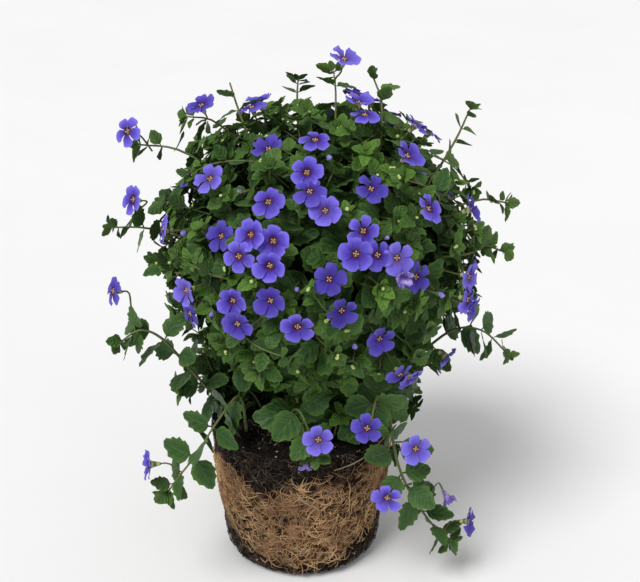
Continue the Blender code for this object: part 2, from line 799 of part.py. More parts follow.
def build_all():
    clear_scene()
    soil = new_material("compost", (0.020, 0.013, 0.009), 0.95)
    roots = new_material("roots", (0.42, 0.26, 0.12), 0.85)
    green = new_material("foliage", (0.045, 0.120, 0.028), 0.6)
    violet = new_material("petals", (0.130, 0.085, 0.600), 0.55)
    plant = new_collection("potted_bacopa")
    cutters = new_collection("cutters")

    feet = [(x / 1000, y / 1000, STEM_RADIUS) for clump in CLUMPS for x, y in clump.feet]
    feet += [(twig.foot[0] / 1000, twig.foot[1] / 1000, SHOOT_RADIUS) for twig in SHOOTS]
    build_plug(feet, soil, plant, cutters)
    build_mat(roots, plant)

    groups = bloom_groups()
    blocked = Space()
    for group in groups:
        for bloom in group:
            blocked.add(bloom.samples())
    loose = [bloom for twig in SHOOTS for bloom in twig_blooms(twig)]
    loose += [
        Bloom(millimetres(*bloom[0]), Vector(bloom[1]).normalized(), spin=i * 1.1)
        for i, (_, _, _, bloom) in enumerate(SPRIGS)
        if bloom
    ]
    for bloom in loose:
        blocked.add(bloom.samples())

    for twig in SHOOTS:
        foot = stem_foot(twig.foot[0] / 1000, twig.foot[1] / 1000)
        path = smooth([foot[1], *[millimetres(*place) for place in twig.route]])
        count = len(path)
        thin = [SHOOT_RADIUS * (1 - 0.45 * i / count) for i in range(count)]
        pieces = [tube([foot[0], *path], [SHOOT_RADIUS, *thin], plant)]
        pairs = leaf_pairs(path, twig.pairs, LEAF_LENGTH, twig.turn)
        kept = [leaf for leaf in pairs if blocked.free(leaf.samples())]
        pieces += [leaf.build(plant) for leaf in kept]
        stalks = [stalk_to(bloom, path) for bloom in twig_blooms(twig)]
        pieces += [stalk(points, plant) for points in stalks]
        for leaf in kept:
            blocked.add(leaf.samples())
        for line in [path, *stalks]:
            blocked.add(along_line(line))
        fused(twig.name, pieces, green, plant)

    sprigs = []
    for right, up, tip, bloom in SPRIGS:
        path = sprig_path(right, up, tip)
        pairs = leaf_pairs(path, SPRIG_PAIRS, LEAF_LENGTH)
        kept = [leaf for leaf in pairs if blocked.free(leaf.samples())]
        for leaf in kept:
            blocked.add(leaf.samples())
        sprigs.append((clump_at(millimetres(*tip)), path, kept, bloom))
        blocked.add(along_line(path[1:]))
    stalks = []
    for bloom in [bloom for group in groups for bloom in group]:
        end = bloom.foot() - bloom.facing * SEAT_GAP
        line = [CROWN_CENTRE.lerp(bloom.centre, ROOT_SHARE / BACK_REACH), end]
        stalks.append((clump_at(bloom.centre), line))
        blocked.add(along_line(line))
    leaves = crown_leaves(blocked)
    print(f"{len(leaves)} crown leaves")
    for clump in CLUMPS:
        pieces = [clump_core(clump, plant)] + clump_stems(clump, plant)
        for owner, path, kept, bloom in sprigs:
            if owner is not clump:
                continue
            count = len(path)
            thin = [SPRIG_RADIUS * (1 - 0.4 * i / count) for i in range(count)]
            pieces.append(tube(path, thin, plant))
            pieces += [leaf.build(plant) for leaf in kept]
            if bloom:
                flower = Bloom(millimetres(*bloom[0]), Vector(bloom[1]).normalized())
                pieces.append(stalk(stalk_to(flower, path), plant))
        pieces += [stalk(line, plant) for owner, line in stalks if owner is clump]
        pieces += [leaf.build(plant) for owner, leaf in leaves if owner is clump]
        fused(clump.name, pieces, green, plant)

    for i, group in enumerate(groups):
        side = "front" if i < len(FRONT_BLOOMS) else "back"
        number = i + 1 if side == "front" else i + 1 - len(FRONT_BLOOMS)
        fused(f"bloom_{side}_{number:02d}", [bloom.build(plant) for bloom in group], violet, plant)
    for i, bloom in enumerate(loose):
        fused(f"bloom_shoot_{i + 1:02d}", [bloom.build(plant)], violet, plant)


build_all()
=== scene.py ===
"""Looks of the trailing bacopa: its leaves, blooms, stems, compost and roots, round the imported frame.

Metres, +Z up. The origin is the centre of the root ball's flat base, and the front faces -Y.
"""

from __future__ import annotations

import logging
import math
from collections import defaultdict
from dataclasses import dataclass, field
from enum import Enum
from functools import cache
from typing import Callable, ClassVar, Iterable, Sequence

import bmesh
import bpy
import numpy as np
from mathutils import Matrix, Vector, noise

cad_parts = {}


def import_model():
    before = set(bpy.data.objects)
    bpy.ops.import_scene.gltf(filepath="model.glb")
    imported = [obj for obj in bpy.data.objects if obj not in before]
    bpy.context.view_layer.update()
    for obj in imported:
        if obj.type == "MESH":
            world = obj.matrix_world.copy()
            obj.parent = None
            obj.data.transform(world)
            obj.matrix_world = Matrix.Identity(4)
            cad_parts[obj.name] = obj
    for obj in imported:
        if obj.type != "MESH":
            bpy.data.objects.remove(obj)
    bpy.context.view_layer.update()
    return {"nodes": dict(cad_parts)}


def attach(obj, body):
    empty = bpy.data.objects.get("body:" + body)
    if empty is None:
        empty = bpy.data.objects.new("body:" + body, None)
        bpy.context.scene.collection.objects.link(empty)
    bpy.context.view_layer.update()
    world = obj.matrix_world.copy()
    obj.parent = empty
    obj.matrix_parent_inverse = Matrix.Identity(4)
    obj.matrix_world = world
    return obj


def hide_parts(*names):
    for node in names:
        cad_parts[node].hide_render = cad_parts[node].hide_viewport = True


LOG = logging.getLogger("bacopa")

Piece = bpy.types.Object
Shape = bmesh.types.BMesh
Material = bpy.types.Material
Socket = bpy.types.NodeSocket
Pair = tuple[float, float]
Place = tuple[float, float, float]
Colour = tuple[float, float, float]
Stops = tuple[tuple[float, Colour], ...]

TURN = 2 * math.pi
UP = Vector((0, 0, 1))
GOLDEN = math.pi * (3 - math.sqrt(5))
MERGE = 0.000001
SHARP_ANGLE = math.radians(62)

# What the "under" attribute says of a point: on the rim, on the back, or on a bloom's tube
RIM_MARK = 0.3
BACK_MARK = 1.0
TUBE_MARK = 2.0

# Share of a petal's UV map that the throat takes
THROAT_SHARE = 0.22

# Crown of the plant, and where its three clumps meet
CROWN_CENTRE = Vector((0.012, 0.0, 0.208))
CROWN_RADII = Vector((0.094, 0.094, 0.091))
CLUMP_MEETING = Vector((0.012, 0.030, 0.0))
RIGHT_CLUMP_FROM = 84
LEFT_CLUMP_FROM = 180
LEFT_CLUMP_TO = 276

LEAF_LENGTH = 0.0195
BLOOM_RADIUS = 0.0095
BLOOM_TUBE = 0.0055
BLOOM_REACH = 0.0132
BLOOM_NOD = 0.16
BLOOM_SIZES = (0.94, 1.03)
PETALS = 5
ANTHERS = 4
CROWN_SEED = 7

# Blooms that are nearer to the crown's centre than this are half hidden, and their petals get painted shade
DEEP_REACH = 1.035

# Blooms of the crown's front, group by group: (degrees to the right of the front, degrees up,
# distance from the crown's centre as a share of its radius)
FRONT_BLOOMS = (
    ((-3, 60, 1.06),),
    ((-52, 39, 1.06),),
    ((-6, 47, 1.06), (-4, 40, 1.08), (2, 34, 1.06)),
    ((-20, 36, 1.06),),
    ((-16, 16, 1.07), (-16, 24, 1.05), (-26, 25, 1.06), (-27, 17, 1.08)),
    ((15, 27, 1.06), (11, 19, 1.08), (19, 19, 1.06), (26, 17, 1.05)),
    ((3, 12, 1.02),),
    ((43, 30, 1.07),),
    ((69, 23, 1.07),),
    ((-48, 1, 1.07),),
    ((-69, 16, 1.07),),
    ((-29, 2, 1.04), (-27, -6, 1.06)),
    ((-16, 4, 1.03),),
    ((-7, -4, 1.05),),
    ((7, 1, 1.02),),
    ((48, 70, 1.06), (70, 77, 1.08)),
    ((84, 56, 1.06), (92, 49, 1.07)),
    ((48, 49, 1.06),),
    ((59, 2, 1.06), (57, -6, 1.08), (64, -12, 1.07)),
    ((32, -30, 1.06), (40, -35, 1.07)),
    ((64, -34, 1.08),),
)

# Groups of the hidden side follow a rule: how many blooms each has, how far it is turned on from the
# last and how high it sits, all in turn
BACK_GROUPS = 11
BACK_COUNTS = (3, 2, 2)
BACK_FIRST = 120
BACK_STEP = 53
BACK_SPAN = 150
BACK_HEIGHTS = (4, 42, 22, 66, -18)
BACK_REACH = 1.06
BACK_SPACING = 8

# Shy blooms among the leaves, whose petals get painted shade: degrees right of the front, degrees up, share
# of the crown's radius
SHY_BLOOMS = (
    (-40, 22, 0.97), (-58, -14, 0.98), (24, 42, 0.98), (36, 8, 0.97), (-36, 58, 0.98), (22, -14, 0.97),
    (80, -4, 0.98), (-84, 34, 0.98), (110, 24, 0.98), (-118, 20, 0.97), (142, -4, 0.98), (-150, 46, 0.98),
    (170, 12, 0.97), (-100, -8, 0.98),
)

# Bright young tips at the crown's front: degrees right of the front, degrees up, share of its radius
BRIGHT_TIPS = ((-22, 10, 1.03), (20, 8, 1.03))

# One closed bud and the withered blooms: place in millimetres and where each looks
BUD_PLACES = (((-33, -50, 262), (-0.3, -0.8, 0.5)),)
WITHERED = (
    ((3.6, -62, 94), (0.0, -0.6, -0.8)),
    ((56, -85, 226), (0.3, -0.9, -0.1)),
    ((90, -47, 63), (0.5, -0.3, -0.8)),
)

# Where the clumps' main stems stand in the compost, in millimetres
CLUMP_FEET = {
    "clump_front": ((-9, -12), (22, -15)),
    "clump_right": ((28, 34), (20, 43)),
    "clump_left": ((-12, 40), (1, 48)),
}


@dataclass(frozen=True)
class Route:
    """A leafy shoot in millimetres: its foot, its route, and the place and look of its blooms."""

    name: str
    foot: Pair
    points: tuple[Place, ...]
    blooms: tuple[tuple[Place, Place], ...] = ()


SHOOTS = (
    Route(
        "shoot_front_left", (-34, -34),
        ((-37, -43, 130), (-50, -64, 122), (-60, -70, 107), (-74, -71, 88), (-79, -71, 80)),
        (((-88, -76, 102), (-0.9, -0.3, 0.1)),),
    ),
    Route(
        "shoot_front", (-2, -46),
        ((-5, -54, 124), (0, -64, 131), (6, -70, 119), (9, -70, 106)),
        (((11, -80, 121), (0.05, -1, 0.25)),),
    ),
    Route(
        "shoot_front_right", (33, -36),
        ((38, -46, 120), (45, -60, 138), (43, -69, 134), (41, -73, 122)),
        (((39, -84, 131), (-0.1, -1, 0.3)),),
    ),
    Route(
        "shoot_trailing", (46, -22),
        ((48, -34, 124), (52, -54, 132), (56, -65, 108), (61, -63, 88), (70, -58, 66), (84, -53, 42),
         (94, -50, 31)),
        (((68, -77, 113), (0.25, -1, 0.25)), ((52, -78, 80), (-0.2, -1, 0.1)),
         ((105, -54, 47), (0.9, -0.35, 0.2))),
    ),
    Route(
        "shoot_left", (-46, -14),
        ((-54, -18, 116), (-68, -30, 142), (-82, -42, 168), (-94, -48, 176), (-107, -45, 166)),
        (((-110, -36, 196), (-0.8, -0.5, 0.3)),),
    ),
    Route(
        "shoot_right", (47, 8),
        ((56, 6, 114), (74, -8, 140), (93, -22, 164), (110, -29, 167), (127, -26, 150)),
    ),
    Route(
        "shoot_back_left", (-28, 38),
        ((-34, 50, 114), (-48, 70, 126), (-60, 84, 112), (-68, 92, 88)),
        (((-60, 100, 112), (-0.4, 0.9, 0.15)),),
    ),
    Route(
        "shoot_back_right", (40, 24),
        ((44, 36, 112), (52, 62, 126), (61, 82, 110), (70, 92, 82), (76, 95, 60)),
        (((62, 101, 96), (0.3, 0.9, 0.1)),),
    ),
)

# Sprigs that stand out of the crown: degrees right of the front and up where each leaves it, its
# tip in millimetres, and its bloom's place and look
SPRIGS = (
    (-62, 58, (-40, -2, 312), None),
    (40, 80, (20, 8, 316), ((26, 2, 325), (0.2, -0.4, 0.9))),
    (70, 62, (43, 10, 313), None),
    (76, 36, (98, -10, 298), None),
    (-84, 42, (-94, 2, 274), ((-100, -8, 285), (-0.5, -0.75, 0.4))),
    (-100, 55, (-66, 6, 290), ((-57, -2, 299), (-0.3, -0.3, 0.9))),
    (-84, 8, (-115, 2, 222), ((-98, -16, 246), (-0.7, -0.6, 0.35))),
    (88, 20, (124, 2, 238), None),
    (76, 6, (121, -18, 214), None),
    (150, 34, (58, 96, 262), None),
    (-150, 20, (-46, 104, 236), None),
    (-165, 50, (-2, 66, 298), None),
)


def heading(right: float, up: float) -> Vector:
    """Gives the unit vector at so many degrees right of the front and up."""
    right, up = math.radians(right), math.radians(up)
    return Vector((math.sin(right) * math.cos(up), -math.cos(right) * math.cos(up), math.sin(up)))


def around(angle: float, radius: float = 1.0, height: float = 0.0) -> Vector:
    """Gives the point at an angle and a distance round the Z axis, at a height."""
    return Vector((radius * math.cos(angle), radius * math.sin(angle), height))


def on_crown(direction: Vector, reach: float) -> Vector:
    """Gives the crown's point in a direction, at a share of its radius."""
    return CROWN_CENTRE + Vector([r * d * reach for r, d in zip(CROWN_RADII, direction)])


def jitter(chance: np.random.Generator, reach: float) -> Vector:
    """Gives a random offset, up to a reach along each axis."""
    return Vector(chance.uniform(-reach, reach, 3))


def sideways(chance: np.random.Generator, direction: Vector) -> Vector:
    """Gives a random unit vector at right angles to a direction."""
    return direction.cross(Vector(chance.normal(0, 1, 3))).normalized()


def millimetres(place: Sequence[float]) -> Vector:
    """Gives a place that is stated in millimetres, in metres."""
    return Vector(place) / 1000


def nearest(points: Iterable[Vector], spot: Vector) -> Vector:
    """Gives the one of some points that is nearest to a spot."""
    return min(points, key=lambda point: (point - spot).length)


def clamp(value: float) -> float:
    """Keeps a value between 0 and 1."""
    return min(max(value, 0.0), 1.0)


def spiral(count: int, top: float = 1.0, span: float = 2.0, turn: float = 0) -> list[tuple[float, Vector]]:
    """Spreads directions evenly over a sphere, or over a band of it.

    Args:
        count: how many.
        top: the height of the band's upper edge on a sphere of radius 1.
        span: how far down the band reaches from there.
        turn: where the first one starts, in radians.

    Returns:
        The height and the unit vector of each direction, from the top down.
    """
    directions = []
    for i in range(count):
        z = top - span * (i + 0.5) / count
        directions.append((z, around(i * GOLDEN + turn, math.sqrt(1 - z * z), z)))
    return directions


def frame_of(along: Vector, facing: Vector, at: Vector, size: float) -> Matrix:
    """Finds the matrix that takes local Y to along and local Z towards facing.

    Args:
        along: where local Y goes.
        facing: where local Z leans to.
        at: the place of the local origin.
        size: the scale.

    Returns:
        The matrix.
    """
    along = along.normalized()
    facing = (facing - along * facing.dot(along)).normalized()
    turned = Matrix((along.cross(facing), along, facing)).transposed() * size
    return Matrix.Translation(at) @ turned.to_4x4()


def smooth(points: Sequence[Vector], step: float) -> list[Vector]:
    """Draws a smooth curve (Catmull-Rom) through points.

    Args:
        points: the places that the curve passes.
        step: the length between two of the points returned.

    Returns:
        Points along the curve, in even shares of its course.
    """
    ends = [2 * points[0] - points[1], *points, 2 * points[-1] - points[-2]]
    length = sum((b - a).length for a, b in zip(points, points[1:]))
    count = max(4, round(length / step))
    curve = []
    for i in range(count + 1):
        place = i / count * (len(points) - 1)
        first = min(int(place), len(points) - 2)
        t = place - first
        a, b, c, d = ends[first : first + 4]
        bend = (2 * a - 5 * b + 4 * c - d) * t**2 + (3 * b - a - 3 * c + d) * t**3
        curve.append(0.5 * (2 * b + (c - a) * t + bend))
    return curve


def point_on(path: Sequence[Vector], share: float) -> tuple[Vector, Vector]:
    """Finds a place on a path.

    Args:
        path: its points.
        share: how far along it, from 0 to 1.

    Returns:
        The point there and the path's direction there.
    """
    place = share * (len(path) - 1)
    i = min(int(place), len(path) - 2)
    return path[i].lerp(path[i + 1], place - i), (path[i + 1] - path[i]).normalized()


def ragged(angle: float, seed: float, waves: float) -> float:
    """Gives a wavy number from -1 to 1 round the plug, the same at both ends of the turn."""
    return noise.noise(around(angle, height=seed) * waves)


@dataclass(frozen=True)
class Plug:
    """Form of the compost: tapered, with rounded edges, a heaped top and a crumbly surface."""

    height: float = 0.098
    rim_radius: float = 0.0585
    base_radius: float = 0.0495
    base_round: float = 0.009
    rim_round: float = 0.005
    heap: float = 0.005
    lump: float = 0.0018
    lump_waves: float = 85
    grain: float = 0.0013
    grain_waves: float = 230
    settled: float = 0.0004

    def radius(self, height: float) -> float:
        """Finds the outer radius, with the rounded lower edge.

        Args:
            height: the height above the base.

        Returns:
            The radius there.
        """
        taper = self.base_radius + (self.rim_radius - self.base_radius) * height / self.height
        short = max(self.base_round - height, 0)
        return taper - self.base_round + math.sqrt(self.base_round**2 - short**2)

    def top(self, x: float, y: float) -> float:
        """Gives the height of the heaped surface at a place."""
        share = min(math.hypot(x, y) / (self.rim_radius - self.rim_round), 1)
        return self.height + self.heap * (1 - share**2)

    def surface(self, x: float, y: float, depth: float = 0.0) -> Vector:
        """Gives the heaped surface's point at a place, or one at a depth below it."""
        return Vector((x, y, self.top(x, y) - depth))

    def crumble(self, at: Vector) -> float:
        """Gives how far the surface stands out at a place."""
        lump = self.lump * noise.noise(at * self.lump_waves)
        return lump + self.grain * noise.noise(at * self.grain_waves) - self.settled


PLUG = Plug()


@dataclass(frozen=True)
class MatForm:
    """Form of the root mat: its ragged edges, and the pits where it opens on the dark compost."""

    top_height: float = 0.075
    front_rise: float = 0.007
    top_wave: float = 0.006
    top_nibble: float = 0.004
    dip_depth: float = 0.017
    dip_place: float = math.radians(-25)
    dip_width: float = math.radians(15)
    low_height: float = 0.006
    side_rise: float = 0.034
    side_curve: float = 1.2
    low_wave: float = 0.008
    low_nibble: float = 0.003
    waves: float = 3.5
    nibbles: float = 13
    pit_waves: float = 19
    drift_waves: float = 4.1
    drift: float = 0.30
    pit_edge: float = -0.26

    def edges(self, angle: float) -> Pair:
        """Finds where the mat begins and ends.

        Args:
            angle: where round the plug.

        Returns:
            The heights of its lower and upper edge.
        """
        right = math.remainder(angle + math.pi / 2, TURN)
        front = math.cos(right)
        dip = self.dip_depth * math.exp(-(((right - self.dip_place) / self.dip_width) ** 2))
        top = self.top_height + self.front_rise * front + self.top_wave * ragged(angle, 1, self.waves)
        top = top + self.top_nibble * ragged(angle, 3, self.nibbles) - dip
        low = self.low_height + self.side_rise * (1 - front**2) ** self.side_curve
        low = low + self.low_wave * max(ragged(angle, 5, self.waves), 0)
        return low + self.low_nibble * ragged(angle, 8, self.nibbles), top

    def pit(self, angle: float, height: float) -> float:
        """Gives a wavy number that is below the pits' edge where the mat has a pit."""
        at = around(angle, height=height / PLUG.rim_radius)
        return noise.noise(at * self.pit_waves) + self.drift * noise.noise(at * self.drift_waves + UP * 5)


MAT = MatForm()


class Graph:
    """A material's node tree, with a call for each kind of node that the finishes use."""

    def __init__(self, name: str) -> None:
        """Starts a material with its Principled shader.

        Args:
            name: the material's name.
        """
        self.material = bpy.data.materials.new(name)
        self.material.use_nodes = True
        self.tree = self.material.node_tree
        self.shader = self.tree.nodes["Principled BSDF"]
        self.place = self.add("ShaderNodeTexCoord").outputs["Object"]

    def add(self, kind: str, **settings: object) -> bpy.types.Node:
        """Adds a node.

        Args:
            kind: the node's type.
            settings: its properties.

        Returns:
            The node.
        """
        node = self.tree.nodes.new(kind)
        for key, value in settings.items():
            setattr(node, key, value)
        return node

    def feed(self, socket: Socket, value: object) -> None:
        """Links a socket to another, or sets its value.

        Args:
            socket: what is fed.
            value: another socket, a number or a colour.
        """
        if isinstance(value, bpy.types.NodeSocket):
            self.tree.links.new(value, socket)
        else:
            socket.default_value = value

    def noise(self, scale: float, detail: float = 3, rough: float = 0.5, warp: float = 0) -> Socket:
        """Adds a noise over the object's own space.

        Args:
            scale: its waves per metre.
            detail: how many finer layers it has.
            rough: how strong they are.
            warp: how much it is distorted.

        Returns:
            Its value, from 0 to 1.
        """
        node = self.add("ShaderNodeTexNoise")
        self.feed(node.inputs["Vector"], self.place)
        settings = {"Scale": scale, "Detail": detail, "Roughness": rough, "Distortion": warp}
        for name, value in settings.items():
            node.inputs[name].default_value = value
        return node.outputs["Fac"]

    def ramp(self, factor: Socket, stops: Stops) -> Socket:
        """Adds a colour ramp.

        Args:
            factor: what runs along it.
            stops: the place and colour of each stop.

        Returns:
            Its colour.
        """
        node = self.add("ShaderNodeValToRGB")
        elements = node.color_ramp.elements
        while len(elements) < len(stops):
            elements.new(0.5)
        for element, (place, colour) in zip(elements, stops):
            element.position = place
            element.color = (*colour, 1)
        self.feed(node.inputs["Fac"], factor)
        return node.outputs["Color"]

    def mix(self, factor: object, first: object, second: object) -> Socket:
        """Mixes two colours.

        Args:
            factor: how much of the second there is.
            first: a colour or a socket.
            second: a colour or a socket.

        Returns:
            The mixed colour.
        """
        node = self.add("ShaderNodeMix", data_type="RGBA")
        self.feed(node.inputs[0], factor)
        for socket, value in ((node.inputs[6], first), (node.inputs[7], second)):
            self.feed(socket, (*value, 1) if isinstance(value, tuple) else value)
        return node.outputs[2]

    def calc(self, kind: str, first: object, second: object = 0.0, third: object = 0.0) -> Socket:
        """Adds a math node.

        Args:
            kind: its operation.
            first: its first number or socket.
            second: its second number or socket.
            third: its third number or socket.

        Returns:
            Its value.
        """
        node = self.add("ShaderNodeMath", operation=kind)
        for socket, value in zip(node.inputs, (first, second, third)):
            self.feed(socket, value)
        return node.outputs[0]

    def step(self, value: object, low: float, high: float, start: float = 0, end: float = 1) -> Socket:
        """Leads smoothly from one number to another while a value passes a range.

        Args:
            value: what passes the range.
            low: where the range begins.
            high: where it ends.
            start: the number at its beginning.
            end: the number at its end.

        Returns:
            The number.
        """
        node = self.add("ShaderNodeMapRange", interpolation_type="SMOOTHSTEP")
        for socket, given in zip(node.inputs, (value, low, high, start, end)):
            self.feed(socket, given)
        return node.outputs[0]

    def value(self, name: str) -> Socket:
        """Gives a mesh attribute's number."""
        return self.add("ShaderNodeAttribute", attribute_name=name).outputs["Fac"]

    def across_along(self) -> tuple[Socket, Socket]:
        """Gives the UV map's two numbers.

        Returns:
            The number across a leaf or petal, and the one along it.
        """
        node = self.add("ShaderNodeSeparateXYZ")
        self.feed(node.inputs[0], self.add("ShaderNodeUVMap", uv_map="UVMap").outputs[0])
        return node.outputs[0], node.outputs[1]

    def dress(self, colour: object, roughness: object, height: Socket, depth: float,
              **fixed: float) -> Material:
        """Feeds the shader.

        Args:
            colour: the base colour.
            roughness: the roughness.
            height: what the bump follows.
            depth: how deep the bump is, in metres.
            fixed: the shader's own numbers, with _ for a space in their names.

        Returns:
            The material.
        """
        self.feed(self.shader.inputs["Base Color"], colour)
        self.feed(self.shader.inputs["Roughness"], roughness)
        for name, value in fixed.items():
            self.shader.inputs[name.replace("_", " ")].default_value = value
        bump = self.add("ShaderNodeBump")
        bump.inputs["Strength"].default_value = 1.0
        bump.inputs["Distance"].default_value = depth
        self.feed(bump.inputs["Height"], height)
        self.feed(self.shader.inputs["Normal"], bump.outputs[0])
        return self.material


@dataclass(frozen=True)
class LeafFinish:
    """Green leaf: its tone varies from leaf to leaf, its veins and back are lighter, and a painted
    highlight lightens its edges.
    """

    dark: Colour = (0.006, 0.042, 0.007)
    middle: Colour = (0.024, 0.076, 0.014)
    light: Colour = (0.062, 0.122, 0.032)
    young: Colour = (0.108, 0.228, 0.024)
    vein: Colour = (0.090, 0.150, 0.038)
    painted_rim_glow: Colour = (0.100, 0.190, 0.030)
    back: Colour = (0.070, 0.115, 0.042)
    mottle_waves: float = 420
    gloss_waves: float = 260
    grain_waves: float = 1500
    vein_rows: float = 4.6
    vein_slant: float = 0.30
    relief: float = 0.00030
    specular: float = 0.25
    sheen: float = 0.03

    def material(self) -> Material:
        """Makes the leaf material, whose veins follow the UV map.

        Returns:
            The material.
        """
        g = Graph("leaf_green")
        across, along = g.across_along()
        side = g.calc("ABSOLUTE", across)
        base = g.ramp(g.value("tone"), ((0.0, self.dark), (0.5, self.middle), (1.0, self.light)))
        base = g.mix(g.step(g.noise(self.mottle_waves, 4), 0.35, 0.75, 0, 0.35), base, self.light)
        base = g.mix(g.value("young"), base, self.young)
        # Painted highlight: a glow along the leaf's edges
        base = g.mix(g.step(side, 0.40, 1.0, 0, 0.42), base, self.painted_rim_glow)
        rib = g.step(side, 0.02, 0.11, 1, 0)
        slanted = g.calc("MULTIPLY_ADD", side, -self.vein_slant, along)
        ridge = g.calc("PINGPONG", g.calc("MULTIPLY_ADD", slanted, self.vein_rows, 0.2), 0.5)
        branch = g.step(ridge, 0.0, 0.09, 1, 0)
        veins = g.calc("MAXIMUM", rib, g.calc("MULTIPLY", branch, 0.55))
        base = g.mix(g.calc("MULTIPLY", veins, 0.35), base, self.vein)
        base = g.mix(g.step(g.value("under"), RIM_MARK, BACK_MARK, 0, 0.75), base, self.back)
        quilt = g.calc("ADD", g.step(ridge, 0.0, 0.4), g.calc("MULTIPLY", rib, -0.8))
        grain = g.calc("MULTIPLY", g.noise(self.grain_waves, 2), 0.35)
        roughness = g.step(g.noise(self.gloss_waves, 2), 0.3, 0.7, 0.44, 0.62)
        return g.dress(base, roughness, g.calc("ADD", quilt, grain), self.relief,
                       Specular_IOR_Level=self.specular, Sheen_Weight=self.sheen, Sheen_Roughness=0.4)


@dataclass(frozen=True)
class PetalFinish:
    """Violet-blue petal: a dark red-purple ring round the throat, fine veins and a paler back."""

    yolk: Colour = (0.42, 0.30, 0.07)
    ring: Colour = (0.050, 0.004, 0.085)
    inner: Colour = (0.052, 0.027, 0.360)
    outer: Colour = (0.100, 0.068, 0.520)
    edge: Colour = (0.200, 0.155, 0.710)
    # Darker violet: a random tone on some blooms, and the painted shade of the half-hidden ones
    deep_shaded: Colour = (0.038, 0.022, 0.260)
    pale: Colour = (0.260, 0.215, 0.740)
    back: Colour = (0.200, 0.165, 0.560)
    tube: Colour = (0.420, 0.420, 0.200)
    ring_waves: float = 900
    mottle_waves: float = 170
    crease_waves: float = 1200
    vein_rows: float = 4.5
    relief: float = 0.00014
    roughness: float = 0.62
    specular: float = 0.22
    sheen: float = 0.10

    def material(self) -> Material:
        """Makes the petal material, whose rings and veins follow the UV map.

        Returns:
            The material.
        """
        g = Graph("petal_violet")
        across, along = g.across_along()
        unrest = g.calc("MULTIPLY", g.calc("SUBTRACT", g.noise(self.ring_waves, 2), 0.5), 0.06)
        base = g.ramp(g.calc("ADD", along, unrest), (
            (0.0, self.yolk), (0.13, self.yolk), (0.19, self.ring), (0.30, self.ring),
            (0.41, self.inner), (0.68, self.outer), (1.0, self.edge),
        ))
        base = g.mix(g.step(g.noise(self.mottle_waves, 3), 0.45, 0.8, 0.0, 0.35), base, self.edge)
        base = g.mix(g.step(g.value("tone"), 0.4, 0.0, 0.0, 0.30), base, self.pale)
        # A high tone darkens the petals: a random darker tone on most blooms, and painted shade on the
        # half-hidden ones, whose tone is 1
        base = g.mix(g.step(g.value("tone"), 0.5, 1.0, 0.0, 0.62), base, self.deep_shaded)
        lines = g.calc("PINGPONG", g.calc("MULTIPLY", across, self.vein_rows), 0.5)
        veins = g.step(lines, 0.0, 0.16, 1, 0)
        fade = g.step(along, 0.25, 0.85, 0.45, 0.0)
        base = g.mix(g.calc("MULTIPLY", veins, fade), base, self.ring)
        under = g.value("under")
        base = g.mix(g.step(under, RIM_MARK, BACK_MARK, 0, 0.85), base, self.back)
        base = g.mix(g.step(under, 1.2, TUBE_MARK), base, self.tube)
        crease = g.calc("ADD", g.calc("MULTIPLY", veins, -0.6), g.noise(self.crease_waves, 3))
        return g.dress(base, self.roughness, crease, self.relief,
                       Specular_IOR_Level=self.specular, Sheen_Weight=self.sheen, Sheen_Roughness=0.4)


@dataclass(frozen=True)
class MottledFinish:
    """A finish of a few colours that follow noise, with grain: its waves per metre and its depth."""

    name: str
    stops: Stops
    broad_waves: float
    fine_waves: float
    depth: float
    roughness: float
    specular: float = 0.3

    def material(self) -> Material:
        """Makes the mottled material, darker where the "shade" attribute says so.

        Returns:
            The material.
        """
        g = Graph(self.name)
        broad = g.step(g.noise(self.broad_waves, 4, 0.6, 0.4), 0.3, 0.7)
        base = g.ramp(broad, self.stops)
        speck = g.noise(self.fine_waves, 4, 0.65)
        base = g.mix(g.step(speck, 0.42, 0.72, 0, 0.45), base, self.stops[-1][1])
        base = g.mix(g.value("shade"), base, self.stops[0][1])
        grain = g.calc("ADD", speck, g.calc("MULTIPLY", broad, 0.5))
        return g.dress(base, self.roughness, grain, self.depth, Specular_IOR_Level=self.specular)


